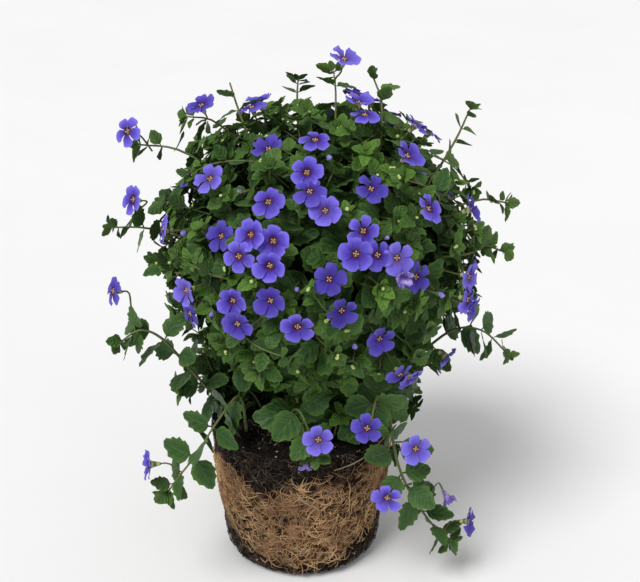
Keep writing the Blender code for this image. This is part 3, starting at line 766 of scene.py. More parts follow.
class Tint(Enum):
    """The finishes, by what they are on."""

    LEAF = LeafFinish()
    PETAL = PetalFinish()
    STEM = MottledFinish(
        "stem_green",
        ((0.0, (0.055, 0.110, 0.022)), (0.6, (0.110, 0.150, 0.040)), (1.0, (0.150, 0.120, 0.050))),
        60, 900, 0.0001, 0.55)
    CALYX = MottledFinish(
        "calyx_green", ((0.0, (0.040, 0.085, 0.020)), (1.0, (0.090, 0.150, 0.035))),
        300, 1500, 0.0001, 0.55)
    BUD = MottledFinish(
        "bud_cream", ((0.0, (0.340, 0.450, 0.110)), (1.0, (0.600, 0.680, 0.300))), 400, 1500, 0.0001, 0.5)
    ANTHER = MottledFinish(
        "anther_gold", ((0.0, (0.46, 0.22, 0.07)), (1.0, (0.68, 0.44, 0.20))), 900, 3000, 0.00005, 0.6)
    STIGMA = MottledFinish(
        "stigma_pink", ((0.0, (0.60, 0.26, 0.34)), (1.0, (0.78, 0.50, 0.52))), 900, 3000, 0.00005, 0.5)
    LILAC = MottledFinish(
        "bud_lilac", ((0.0, (0.150, 0.105, 0.520)), (1.0, (0.360, 0.310, 0.720))), 300, 1200, 0.0001, 0.6)
    FADED = MottledFinish(
        "faded_bloom",
        ((0.0, (0.090, 0.052, 0.330)), (0.5, (0.210, 0.150, 0.520)), (1.0, (0.430, 0.350, 0.620))),
        300, 1200, 0.0003, 0.8)
    # Painted shade: the near-black ball inside the crown
    SHADE = MottledFinish(
        "inner_shade", ((0.0, (0.003, 0.010, 0.002)), (1.0, (0.009, 0.028, 0.006))),
        180, 700, 0.0008, 0.9, 0.05)
    COMPOST = MottledFinish(
        "compost_dark",
        ((0.0, (0.0025, 0.0020, 0.0018)), (0.6, (0.0070, 0.0055, 0.0045)), (1.0, (0.0180, 0.0140, 0.0110))),
        160, 1300, 0.0010, 0.95, 0.12)
    CRUMB = MottledFinish(
        "compost_crumb",
        ((0.0, (0.0035, 0.0028, 0.0024)), (0.6, (0.0110, 0.0085, 0.0070)), (1.0, (0.0300, 0.0230, 0.0180))),
        240, 1700, 0.0006, 0.95, 0.12)
    GRIT = MottledFinish(
        "pale_grit", ((0.0, (0.10, 0.09, 0.08)), (1.0, (0.38, 0.36, 0.32))), 500, 2000, 0.0003, 0.85)
    MAT = MottledFinish(
        "root_mat_brown",
        ((0.0, (0.010, 0.006, 0.004)), (0.30, (0.095, 0.053, 0.028)), (1.0, (0.260, 0.155, 0.080))),
        110, 1500, 0.0012, 0.95, 0.1)
    ROOT = MottledFinish(
        "root_tan",
        ((0.0, (0.215, 0.122, 0.068)), (0.5, (0.420, 0.252, 0.126)), (1.0, (0.620, 0.410, 0.210))),
        42, 1800, 0.00015, 0.8, 0.2)
    RUSTY_ROOT = MottledFinish(
        "root_rust",
        ((0.0, (0.130, 0.056, 0.028)), (0.5, (0.260, 0.122, 0.058)), (1.0, (0.390, 0.215, 0.110))),
        75, 1800, 0.00015, 0.8, 0.2)
    PALE_ROOT = MottledFinish(
        "root_pale", ((0.0, (0.300, 0.200, 0.115)), (1.0, (0.520, 0.390, 0.250))),
        110, 1800, 0.00015, 0.78, 0.2)
    DARK_ROOT = MottledFinish(
        "root_dark",
        ((0.0, (0.024, 0.016, 0.012)), (0.6, (0.070, 0.048, 0.034)), (1.0, (0.200, 0.150, 0.115))),
        90, 1500, 0.00015, 0.88, 0.15)
    FLOOR = MottledFinish(
        "studio_floor", ((0.0, (0.86, 0.86, 0.86)), (1.0, (0.88, 0.88, 0.88))), 3, 200, 0.00002, 0.85, 0.1)

    @cache
    def material(self) -> Material:
        """Makes the finish's material, once."""
        return self.value.material()


@dataclass
class Pattern:
    """A small mesh that is repeated: its points, triangles, UV map and whether it faces down."""

    points: np.ndarray
    triangles: np.ndarray
    uv: np.ndarray
    under: np.ndarray

    @classmethod
    def of(cls, shape: Shape) -> Pattern:
        """Makes a pattern of a bmesh, which is used up.

        Args:
            shape: the bmesh. It may have a UV layer and an "under" layer.

        Returns:
            The pattern.
        """
        bmesh.ops.triangulate(shape, faces=shape.faces[:])
        shape.verts.index_update()
        uv_layer = shape.loops.layers.uv.active
        under_layer = shape.verts.layers.float.get("under")
        points = np.array([vert.co[:] for vert in shape.verts])
        triangles = np.array([[vert.index for vert in face.verts] for face in shape.faces])
        uv = np.zeros((len(triangles), 3, 2))
        if uv_layer:
            uv = np.array([[loop[uv_layer].uv[:] for loop in face.loops] for face in shape.faces])
        under = np.zeros(len(points))
        if under_layer:
            under = np.array([vert[under_layer] for vert in shape.verts])
        shape.free()
        return cls(points, triangles, uv, under)


@dataclass
class Copies:
    """Placed copies of patterns that become one mesh."""

    points: list[np.ndarray] = field(default_factory=list)
    triangles: list[np.ndarray] = field(default_factory=list)
    uv: list[np.ndarray] = field(default_factory=list)
    values: defaultdict[str, list[np.ndarray]] = field(default_factory=lambda: defaultdict(list))
    count: int = 0

    def add(self, pattern: Pattern, matrix: Matrix, tone: float = 0.5, young: float = 0.0) -> None:
        """Places one copy.

        Args:
            pattern: what is copied.
            matrix: where it goes.
            tone: its light or dark, from 0 to 1: a random tone, and painted shade on a half-hidden bloom.
            young: how young it is, from 0 to 1.
        """
        turned = np.array(matrix.to_3x3())
        self.points.append(pattern.points @ turned.T + np.array(matrix.translation))
        self.triangles.append(pattern.triangles + self.count)
        self.uv.append(pattern.uv)
        self.count += len(pattern.points)
        self.values["under"].append(pattern.under)
        self.values["tone"].append(np.full(len(pattern.points), tone))
        self.values["young"].append(np.full(len(pattern.points), young))

    def build(self, name: str, tint: Tint) -> Piece:
        """Joins every copy into one object.

        Args:
            name: the object's name.
            tint: its finish.

        Returns:
            The object.
        """
        points = np.concatenate(self.points).astype(np.float32)
        triangles = np.concatenate(self.triangles).astype(np.int32)
        mesh = bpy.data.meshes.new(name)
        mesh.vertices.add(len(points))
        mesh.vertices.foreach_set("co", points.ravel())
        mesh.loops.add(triangles.size)
        mesh.loops.foreach_set("vertex_index", triangles.ravel())
        mesh.polygons.add(len(triangles))
        mesh.polygons.foreach_set("loop_start", np.arange(0, triangles.size, 3, dtype=np.int32))
        mesh.update(calc_edges=True)
        mesh.shade_smooth()
        mesh.set_sharp_from_angle(angle=SHARP_ANGLE)
        layer = mesh.uv_layers.new(name="UVMap")
        layer.data.foreach_set("uv", np.concatenate(self.uv).astype(np.float32).ravel())
        for key, parts in self.values.items():
            attribute = mesh.attributes.new(key, "FLOAT", "POINT")
            attribute.data.foreach_set("value", np.concatenate(parts).astype(np.float32))
        return show(name, mesh, tint)


def show(name: str, mesh: bpy.types.Mesh, tint: Tint) -> Piece:
    """Puts a mesh into the scene.

    Args:
        name: the new object's name.
        mesh: its mesh.
        tint: its only finish.

    Returns:
        The object.
    """
    mesh.materials.clear()
    mesh.materials.append(tint.material())
    piece = bpy.data.objects.new(name, mesh)
    bpy.context.scene.collection.objects.link(piece)
    return piece


def show_shape(name: str, shape: Shape, tint: Tint, rounded: bool = True) -> Piece:
    """Puts a bmesh, which is used up, into the scene.

    Args:
        name: the new object's name.
        shape: the bmesh.
        tint: its only finish.
        rounded: whether its shading is smooth.

    Returns:
        The object.
    """
    mesh = bpy.data.meshes.new(name)
    shape.to_mesh(mesh)
    shape.free()
    if rounded:
        mesh.shade_smooth()
    return show(name, mesh, tint)


class Tubes:
    """Stems or roots with four sides: one curve of many lines, turned into a mesh."""

    def __init__(self) -> None:
        """Starts with no lines."""
        self.data = bpy.data.curves.new("lines", "CURVE")
        self.data.dimensions = "3D"
        self.data.fill_mode = "FULL"
        self.data.bevel_depth = 1.0
        self.data.bevel_resolution = 0
        self.data.use_fill_caps = True
        self.count = 0

    def add(self, points: Sequence[Vector], radii: Sequence[float]) -> None:
        """Adds a line.

        Args:
            points: the line's points.
            radii: its radius at each point.
        """
        spline = self.data.splines.new("POLY")
        spline.points.add(len(points) - 1)
        for knot, place, radius in zip(spline.points, points, radii):
            knot.co = (*place, 1)
            knot.radius = radius
        self.count += 1

    def build(self, name: str, tint: Tint) -> Piece:
        """Turns the lines into one mesh with closed ends.

        Args:
            name: the object's name.
            tint: its finish.

        Returns:
            The object.
        """
        curve = bpy.data.objects.new("lines", self.data)
        bpy.context.scene.collection.objects.link(curve)
        graph = bpy.context.evaluated_depsgraph_get()
        mesh = bpy.data.meshes.new_from_object(curve.evaluated_get(graph))
        bpy.data.objects.remove(curve)
        bpy.data.curves.remove(self.data)
        shape = bmesh.new()
        shape.from_mesh(mesh)
        bmesh.ops.remove_doubles(shape, verts=shape.verts[:], dist=MERGE)
        bmesh.ops.recalc_face_normals(shape, faces=shape.faces[:])
        shape.to_mesh(mesh)
        shape.free()
        mesh.name = name
        mesh.shade_smooth()
        return show(name, mesh, tint)


def spin_round(shape: Shape, profile: Iterable[Pair], sides: int) -> None:
    """Adds a profile of radii and heights, spun once round the Z axis.

    Args:
        shape: what it is added to.
        profile: the radius and height of each point.
        sides: how many steps the spin has.
    """
    verts = [shape.verts.new((radius, 0, height)) for radius, height in profile]
    edges = [shape.edges.new(pair) for pair in zip(verts, verts[1:])]
    bmesh.ops.spin(
        shape, geom=verts + edges, axis=UP, cent=(0, 0, 0), steps=sides, angle=TURN, use_merge=True)


def close_blade(shape: Shape, thickness: float) -> None:
    """Gives flat blades a back that meets them at their rims.

    Args:
        shape: the blades' upper sides, facing +Z.
        thickness: how far below the points inside the rim the back is.
    """
    under = shape.verts.layers.float.new("under")
    # A corner's face is split from the corner inwards, so that its front and back stay apart
    for corner in [vert for vert in shape.verts if len(vert.link_edges) == 2]:
        beside = {edge.other_vert(corner) for edge in corner.link_edges}
        inner = [vert for vert in corner.link_faces[0].verts if vert is not corner and vert not in beside]
        bmesh.ops.connect_verts(shape, verts=[corner, *inner])
    rim = {vert for vert in shape.verts if vert.is_boundary}
    inside = [vert for vert in shape.verts if vert not in rim]
    copy = bmesh.ops.duplicate(shape, geom=shape.verts[:] + shape.edges[:] + shape.faces[:])
    for vert in rim:
        vert[under] = RIM_MARK
        copy["vert_map"][vert][under] = RIM_MARK
    for vert in inside:
        back = copy["vert_map"][vert]
        back.co.z -= thickness
        back[under] = BACK_MARK
    faces = [g for g in copy["geom"] if isinstance(g, bmesh.types.BMFace)]
    bmesh.ops.reverse_faces(shape, faces=faces)
    bmesh.ops.remove_doubles(shape, verts=shape.verts[:], dist=MERGE)


@dataclass
class LeafShape:
    """One shape of leaf, of length 1 past its stalk: broad, with coarse teeth, folded and curled."""

    teeth: int = 4
    half_width: float = 0.42
    stalk: float = 0.15
    stalk_width: float = 0.030
    tooth: float = 0.06
    tooth_rake: float = 0.03
    notch_rake: float = -0.015
    widest: float = 0.70
    fullness: float = 0.74
    fold: float = 0.16
    curl: float = 0.18
    wave: float = 0.03
    wave_step: float = 2.1
    twist: float = 0.0
    thickness: float = 0.022

    def outline(self, share: float) -> float:
        """Gives the half width at a share of the blade, without teeth."""
        arch = math.sin(math.pi * share**self.widest) if 0 < share < 1 else 0.0
        return self.half_width * arch**self.fullness

    def place(self, across: float, row: int, rows: int) -> Vector:
        """Places a point of the blade.

        Args:
            across: from -1 at its left edge to 1 at its right edge.
            row: which row of points, the first at the foot of the stalk and the second at its top.
            rows: the last row, at the tip.

        Returns:
            The point.
        """
        share = (row - 1) / (rows - 1)
        tooth = self.tooth if row % 2 else -self.tooth
        if row < 2:
            x, y = across * self.stalk_width, -self.stalk * (1 - row)
        elif row == rows:
            x, y = 0.0, 1.0
        else:
            x = across * self.outline(share) * (1 + tooth)
            y = share + abs(across) * (self.tooth_rake if row % 2 else self.notch_rake)
        lift = self.fold * abs(x) - self.curl * max(y, 0) ** 2 + self.twist * x * y
        return Vector((x, y, lift + self.wave * math.sin(row * self.wave_step) * abs(across)))

    def pattern(self) -> Pattern:
        """Makes the leaf: a grid narrowed to the outline, with a back.

        Returns:
            Its pattern.
        """
        shape = bmesh.new()
        rows = 2 * self.teeth + 2
        bmesh.ops.create_grid(shape, x_segments=2, y_segments=rows, size=1)
        uv = shape.loops.layers.uv.new("UVMap")
        for face in shape.faces:
            for loop in face.loops:
                loop[uv].uv = (loop.vert.co.x, (loop.vert.co.y + 1) / 2)
        for vert in shape.verts:
            vert.co = self.place(vert.co.x, round((vert.co.y + 1) / 2 * rows), rows)
        close_blade(shape, self.thickness)
        bmesh.ops.dissolve_degenerate(shape, dist=MERGE, edges=shape.edges[:])
        return Pattern.of(shape)


@dataclass
class BloomShape:
    """One shape of bloom, of real size: five broad petals that overlap, a throat and a tube behind."""

    openness: float = 0.10
    curl: float = 0.16
    ripple: float = 0.0004
    seed: float = 0.0
    breadth: float = 1.0
    columns: int = 6
    rows: int = 5
    petal_lengths: tuple[float, ...] = (0.93, 1.02, 1.03, 1.02, 0.93)
    petal_widths: tuple[float, ...] = (0.98, 1.10, 1.14, 1.10, 0.98)
    roundness: float = 0.24
    unevenness: float = 0.06
    tilt: float = 0.16
    overlap: float = 0.0005
    cupping: float = 0.0006
    thickness: float = 0.0003
    petal_foot: float = 0.0021
    throat_radius: float = 0.0023
    throat_wall: float = 0.00235
    throat_depth: float = 0.0025
    throat_sides: int = 12
    throat_profile: tuple[Pair, ...] = (
        (0, -0.0024), (0.0010, -0.0021), (0.0019, -0.0008), (0.0023, 0.0001), (0.0024, -0.0004),
        (0.0016, -0.0030), (0.0012, -BLOOM_TUBE), (0, -BLOOM_TUBE),
    )

    def place(self, petal: int, across: float, along: float) -> Vector:
        """Places a petal's point.

        Args:
            petal: which petal, counted round from the gap between the two upper ones.
            across: from -1 to 1 across the petal.
            along: from 0 at the throat to 1 at the petal's end.

        Returns:
            The point.
        """
        wander = noise.noise(Vector((petal * 2.3, self.seed, 0.5)))
        reach = BLOOM_RADIUS * self.petal_lengths[petal] * (1 + self.unevenness * wander)
        end = reach * (1 - self.roundness * abs(across) ** 2.6 - 0.03 * math.cos(across * 5))
        radius = self.petal_foot + (end - self.petal_foot) * along
        half = math.pi / PETALS * self.petal_widths[petal] * self.breadth * (1.0 - 0.10 * along)
        angle = (petal + 0.5) * TURN / PETALS + across * half + 0.05 * wander
        tilt = self.openness + self.tilt * noise.noise(Vector((petal * 1.9, self.seed, 7.5)))
        lift = tilt * (radius - self.petal_foot) - self.curl * BLOOM_RADIUS * 0.5 * along**3
        lift += self.overlap * across * min(1.0, 2 * along)
        lift += self.cupping * abs(across) ** 2 * along * (1 - along) * 4
        at = Vector((across * 2.2, along * 2.5, self.seed + petal * 4))
        lift += self.ripple * along * noise.noise(at)
        lift += 0.35 * self.ripple * along**3 * math.sin(across * 6 + petal * 2 + self.seed)
        return around(angle, radius, lift)

    def add_petals(self, shape: Shape, uv: bmesh.types.BMLayerItem) -> None:
        """Adds the five petals, each a bent grid, and gives them backs.

        Args:
            shape: the bloom's bmesh.
            uv: its UV layer.
        """
        for petal in range(PETALS):
            grid = bmesh.ops.create_grid(
                shape, x_segments=self.columns, y_segments=self.rows, size=1)["verts"]
            for face in {face for vert in grid for face in vert.link_faces}:
                for loop in face.loops:
                    along = THROAT_SHARE + (1 - THROAT_SHARE) * (loop.vert.co.y + 1) / 2
                    loop[uv].uv = (loop.vert.co.x, along)
            for vert in grid:
                vert.co = self.place(petal, vert.co.x, (vert.co.y + 1) / 2)
        bmesh.ops.reverse_faces(shape, faces=[face for face in shape.faces if face.normal.z < 0])
        close_blade(shape, self.thickness)

    def add_throat(self, shape: Shape, uv: bmesh.types.BMLayerItem) -> None:
        """Adds the throat and tube, a profile spun round the axis.

        Args:
            shape: the bloom's bmesh, which has its petals.
            uv: its UV layer.
        """
        petals = set(shape.verts)
        spin_round(shape, self.throat_profile, self.throat_sides)
        throat = [vert for vert in shape.verts if vert not in petals]
        bmesh.ops.remove_doubles(shape, verts=throat, dist=MERGE)
        throat = [vert for vert in shape.verts if vert not in petals]
        faces = list(dict.fromkeys(face for vert in throat for face in vert.link_faces))
        bmesh.ops.recalc_face_normals(shape, faces=faces)
        under = shape.verts.layers.float["under"]
        for face in faces:
            wide = max(vert.co.xy.length for vert in face.verts)
            inside = wide < self.throat_wall and min(vert.co.z for vert in face.verts) > -self.throat_depth
            for loop in face.loops:
                reach = loop.vert.co.xy.length / self.throat_radius
                loop[uv].uv = (0, THROAT_SHARE * reach if inside else 0.5)
                if not inside and loop.vert.co.z < -0.0003:
                    loop.vert[under] = TUBE_MARK

    def pattern(self) -> Pattern:
        """Makes the bloom of its petals and throat.

        Returns:
            Its pattern.
        """
        shape = bmesh.new()
        uv = shape.loops.layers.uv.new("UVMap")
        self.add_petals(shape, uv)
        self.add_throat(shape, uv)
        return Pattern.of(shape)


def ball_pattern(lumps: float = 0.0, seed: float = 0.0) -> Pattern:
    """Makes a ball of radius 1.

    Args:
        lumps: how lumpy it is.
        seed: which lumps it has.

    Returns:
        Its pattern.
    """
    shape = bmesh.new()
    bmesh.ops.create_icosphere(shape, subdivisions=1, radius=1)
    for vert in shape.verts:
        vert.co *= 1 + lumps * noise.noise(vert.co * 1.7 + UP * seed)
    return Pattern.of(shape)


@dataclass(frozen=True)
class BudShape:
    """Closed bud: petals folded over one another in a twisted drop at the end of a tube."""

    sides: int = 10
    rings: int = 8
    radius: float = 0.0019
    half_length: float = 0.0030
    sunk: float = 0.0018
    fold: float = 0.16
    twist: float = 0.9
    taper: float = 0.45

    def pattern(self) -> Pattern:
        """Makes the bud from a ball.

        Returns:
            Its pattern.
        """
        shape = bmesh.new()
        bmesh.ops.create_uvsphere(shape, u_segments=self.sides, v_segments=self.rings, radius=1)
        for vert in shape.verts:
            x, y, z = vert.co
            angle = math.atan2(y, x)
            fold = 1 + self.fold * math.cos(PETALS * (angle + self.twist * z)) * (1 - z**2)
            wide = self.radius * fold * (1.0 if z > 0 else 1 + self.taper * z)
            vert.co = (x * wide, y * wide, z * self.half_length - self.sunk)
        return Pattern.of(shape)


@dataclass(frozen=True)
class CalyxShape:
    """A bloom's green calyx: a small cup whose five sepals point forward."""

    foot_radius: float = 0.0007
    mouth_radius: float = 0.0016
    depth: float = 0.003
    sepal: float = 0.0021
    spread: float = 1.35
    forward: float = 0.0006

    def pattern(self) -> Pattern:
        """Makes the calyx from a cone, every other point of whose mouth is drawn out.

        Returns:
            Its pattern.
        """
        shape = bmesh.new()
        sides = 2 * PETALS
        bmesh.ops.create_cone(shape, cap_ends=True, cap_tris=True, segments=sides, radius1=self.foot_radius,
                              radius2=self.mouth_radius, depth=self.depth)
        mouth = [vert for vert in shape.verts if vert.co.z > 0 and vert.co.xy.length > MERGE]
        for vert in shape.verts:
            if vert in mouth and round(math.atan2(vert.co.y, vert.co.x) / TURN * sides) % 2 == 0:
                vert.co.z += self.sepal
                vert.co.xy *= self.spread
            vert.co.z -= BLOOM_TUBE - self.forward
        return Pattern.of(shape)


@dataclass
class Bloom:
    """One flower: where its middle is, where it looks, its turn and its size.

    No leaf may lie in a round space before it, which is narrower for one that sits half hidden among the
    leaves; such a one also gets painted shade on its petals.
    """

    SPACE_BEHIND: ClassVar[float] = 0.0045
    SPACE_AHEAD: ClassVar[float] = 0.040
    SPACE_RADIUS: ClassVar[float] = 0.0112
    DEEP_RADIUS: ClassVar[float] = 0.0065

    centre: Vector
    facing: Vector
    spin: float = 0.0
    size: float = 1.0
    deep_shaded: bool = False

    def matrix(self) -> Matrix:
        """Finds where the flower's own shape goes.

        Returns:
            The matrix.
        """
        side = self.facing.orthogonal().normalized()
        side.rotate(Matrix.Rotation(self.spin, 3, self.facing))
        return frame_of(side, self.facing, self.centre, self.size)

    def foot(self) -> Vector:
        """Gives the lower end of its tube."""
        return self.centre - self.facing * BLOOM_TUBE * self.size

    def hides(self, point: Vector) -> bool:
        """Says whether a leaf at a point would cover the flower or cut through it.

        Args:
            point: the point.

        Returns:
            True where it would.
        """
        away = point - self.centre
        ahead = away.dot(self.facing)
        wide = (away - self.facing * ahead).length
        limit = (self.DEEP_RADIUS if self.deep_shaded else self.SPACE_RADIUS) * self.size
        return -self.SPACE_BEHIND < ahead < self.SPACE_AHEAD and wide < limit


def crown_groups() -> list[list[Bloom]]:
    """Places every group of the crown's blooms.

    Returns:
        Each group as a list of blooms that touch, those of the front first.
    """
    chance = np.random.default_rng(CROWN_SEED)
    plans = [list(group) for group in FRONT_BLOOMS]
    for i in range(BACK_GROUPS):
        right = BACK_FIRST + i * BACK_STEP % BACK_SPAN
        up = BACK_HEIGHTS[i % len(BACK_HEIGHTS)]
        wide = math.cos(math.radians(up))
        plans.append([
            (right + BACK_SPACING * (j % 2) / wide, up + BACK_SPACING * (j // 2), BACK_REACH)
            for j in range(BACK_COUNTS[i % len(BACK_COUNTS)])
        ])
    groups = []
    for plan in plans:
        group: list[Bloom] = []
        for right, up, reach in plan:
            centre = on_crown(heading(right, up), reach)
            if group:
                step = centre - group[-1].centre
                centre = group[-1].centre + step * min(1, BLOOM_REACH / step.length)
            facing = (heading(right, up) + jitter(chance, BLOOM_NOD)).normalized()
            size = chance.uniform(*BLOOM_SIZES)
            group.append(Bloom(centre, facing, chance.uniform(0, TURN), size, reach < DEEP_REACH))
        groups.append(group)
    return groups


def clump_of(point: Vector) -> str:
    """Finds the clump whose wedge of the crown a point is in.

    Args:
        point: the point.

    Returns:
        The clump's name.
    """
    away = point - CLUMP_MEETING
    right = math.degrees(math.atan2(away.x, -away.y)) % 360
    if RIGHT_CLUMP_FROM <= right < LEFT_CLUMP_FROM:
        return "clump_right"
    return "clump_left" if LEFT_CLUMP_FROM <= right < LEFT_CLUMP_TO else "clump_front"


@dataclass(frozen=True)
class Habit:
    """How a leafy stem grows.

    Its leaves begin at a share of its length and follow in pairs, a gap apart. Its radius is that of
    its foot, its length that of a full leaf. Its leaves are at least as young as fresh says, from 0 to 1.
    """

    start: float
    gap: float
    radius: float
    length: float = LEAF_LENGTH
    tip: bool = True
    fresh: float = 0.0


BUSH_HABIT = Habit(start=0.30, gap=0.0100, radius=0.0010)
RUNNER_HABIT = Habit(start=0.15, gap=0.0110, radius=0.0008, length=LEAF_LENGTH * 0.68)
PROUD_HABIT = Habit(start=0.42, gap=0.0085, radius=0.0010, length=LEAF_LENGTH * 0.74, fresh=0.5)
INNER_HABIT = Habit(start=0.25, gap=0.0095, radius=0.0009, length=LEAF_LENGTH * 0.95, tip=False)
SKIRT_HABIT = Habit(start=0.35, gap=0.0095, radius=0.0010)
LOW_HABIT = Habit(start=0.35, gap=0.0090, radius=0.0010)
SHOOT_HABIT = Habit(start=0.34, gap=0.0098, radius=0.0012)


@dataclass
class Greenery:
    """Leaves, stems and leaf buds, gathered by the node that they stand for."""

    blooms: list[Bloom]
    seed: int = 41
    mature_kinds: int = 6
    small_kinds: int = 3
    small_share: float = 0.62
    spots: tuple[Pair, ...] = ((0, 0.5), (0, 0.9), (0.3, 0.5), (-0.3, 0.5))
    tones: Pair = (0.45, 0.22)
    pair_turn: float = math.radians(78)
    lowest_look: float = -0.15
    tip_leaves: int = 6
    vivid_leaves: int = 9
    tip_lengths: Pair = (0.0065, 0.0105)
    bud_sizes: Pair = (0.0009, 0.0015)
    leaves: defaultdict[str, Copies] = field(default_factory=lambda: defaultdict(Copies))
    stems: defaultdict[str, Tubes] = field(default_factory=lambda: defaultdict(Tubes))
    buds: Copies = field(default_factory=Copies)

    def __post_init__(self) -> None:
        """Prepares the shapes of leaves, each with its own width, teeth, fold and curl."""
        self.chance = np.random.default_rng(self.seed)
        self.mature = [
            LeafShape(
                half_width=0.39 + 0.014 * i, tooth=(0.055, 0.075, 0.095, 0.110)[i % 4],
                fold=0.06 + 0.06 * (i % 3), curl=0.06 + 0.08 * (i % 4),
                wave=0.015 + 0.015 * (i % 2), twist=-0.18 + 0.06 * i,
            ).pattern()
            for i in range(self.mature_kinds)
        ]
        self.small = [
            LeafShape(teeth=2, half_width=0.39, tooth=0.07, fold=0.28, curl=-0.15 + 0.15 * i).pattern()
            for i in range(self.small_kinds)
        ]
        self.bud = ball_pattern()

    def clear(self, point: Vector) -> bool:
        """Says whether something at a point covers no flower."""
        return not any(bloom.hides(point) for bloom in self.blooms)

    def leaf(self, node: str, base: Vector, along: Vector, facing: Vector, length: float,
             young: float) -> None:
        """Adds a leaf, unless it would cover a flower or reach into the compost.

        Args:
            node: the node that it stands for.
            base: where it leaves its stem.
            along: where its tip points.
            facing: where its upper side looks.
            length: its length without the stalk.
            young: how young it is, from 0 to 1.
        """
        kinds = self.small if length < LEAF_LENGTH * self.small_share else self.mature
        matrix = frame_of(along, facing, base + along.normalized() * 0.16 * length, length)
        if not all(self.clear(matrix @ Vector((x, y, 0))) for x, y in self.spots):
            return
        middle = matrix @ Vector((0, 0.6, 0))
        if middle.z < PLUG.top(0, 0) - 0.002 and base.xy.length < PLUG.rim_radius:
            return
        tone = clamp(self.chance.normal(*self.tones))
        kind = kinds[self.chance.integers(len(kinds))]
        self.leaves[node].add(kind, matrix, tone, young)

    def sprig(self, node: str, path: Sequence[Vector], habit: Habit, turn: float = 0.0,
              scale: float = 1.0) -> None:
        """Adds a leafy stem: opposite leaves, each pair turned on from the last, and a young tip.

        Args:
            node: the node that it stands for.
            path: its points.
            habit: how it grows.
            turn: the first pair's turn.
            scale: how large its leaves are for its habit.
        """
        chance = self.chance
        total = sum((b - a).length for a, b in zip(path, path[1:]))
        last = len(path) - 1
        self.stems[node].add(path, [habit.radius * (1 - 0.5 * i / last) for i in range(len(path))])
        count = max(1, int(total * (1 - habit.start) / habit.gap))
        for i in range(count + 1):
            place, ahead = point_on(path, habit.start + (1 - habit.start) * i / (count + 0.5))
            out = (place - CROWN_CENTRE).normalized()
            out.z = max(out.z, self.lowest_look)
            side = ahead.cross(UP * 0.6 + out).normalized()
            side.rotate(Matrix.Rotation(turn + i * self.pair_turn + chance.uniform(-0.25, 0.25), 3, ahead))
            late = (i + 1) / (count + 1)
            young = max(habit.fresh, (late - 0.7) * 1.4)
            size = habit.length * scale * (1 - 0.42 * max(0.0, late - 0.6) / 0.4)
            size *= chance.uniform(0.82, 1.1)
            for sign in (1, -1):
                along = side * sign + ahead * (0.12 + 0.30 * late) - UP * 0.10 + jitter(chance, 0.22)
                facing = UP * 0.50 + out * 0.95 + ahead * 0.15 + jitter(chance, 0.42)
                self.leaf(node, place, along, facing, size, young * chance.uniform(0.4, 1))
        if habit.tip:
            self.rosette(node, *point_on(path, 1.0))

    def rosette(self, node: str, place: Vector, ahead: Vector, vivid: bool = False) -> None:
        """Adds the small young leaves at a stem's tip, unless they would cover a flower.

        Args:
            node: the node that they stand for.
            place: the stem's tip.
            ahead: the stem's direction there.
            vivid: whether it is one of the few large bright ones, with a bud for certain.
        """
        chance = self.chance
        if not self.clear(place):
            return
        side = ahead.orthogonal().normalized()
        spin = chance.uniform(0, TURN)
        bright = 0.85 if vivid else chance.uniform(0.2, 0.9)
        long = self.tip_lengths[1] if vivid else chance.uniform(*self.tip_lengths)
        for i in range(self.vivid_leaves if vivid else self.tip_leaves):
            out = side.copy()
            out.rotate(Matrix.Rotation(spin + i * GOLDEN, 3, ahead))
            along = out + ahead * (0.25 + 0.14 * i)
            size = long * (1.15 - (0.09 if vivid else 0.12) * i) * chance.uniform(0.9, 1.1)
            self.leaf(node, place, along, ahead - out * 0.3, size, bright * chance.uniform(0.7, 1))
        if vivid or chance.uniform() < 0.5:
            self.tip_buds(place, ahead, spin, 1.3 if vivid else 1.0)

    def tip_buds(self, place: Vector, ahead: Vector, spin: float, scale: float) -> None:
        """Adds one or two round buds among the leaves of a tip.

        Args:
            place: the stem's tip.
            ahead: the stem's direction there.
            spin: how far the first one is turned round the stem.
            scale: how large they are.
        """
        chance = self.chance
        side = ahead.orthogonal().normalized()
        for i in range(int(chance.integers(1, 3))):
            around = side.copy()
            around.rotate(Matrix.Rotation(spin + i * 2.2, 3, ahead))
            at = place + ahead * 0.0022 + around * 0.0016 * i
            if self.clear(at):
                size = chance.uniform(*self.bud_sizes) * scale
                self.buds.add(self.bud, frame_of(ahead, around, at, size), chance.uniform(0, 1))


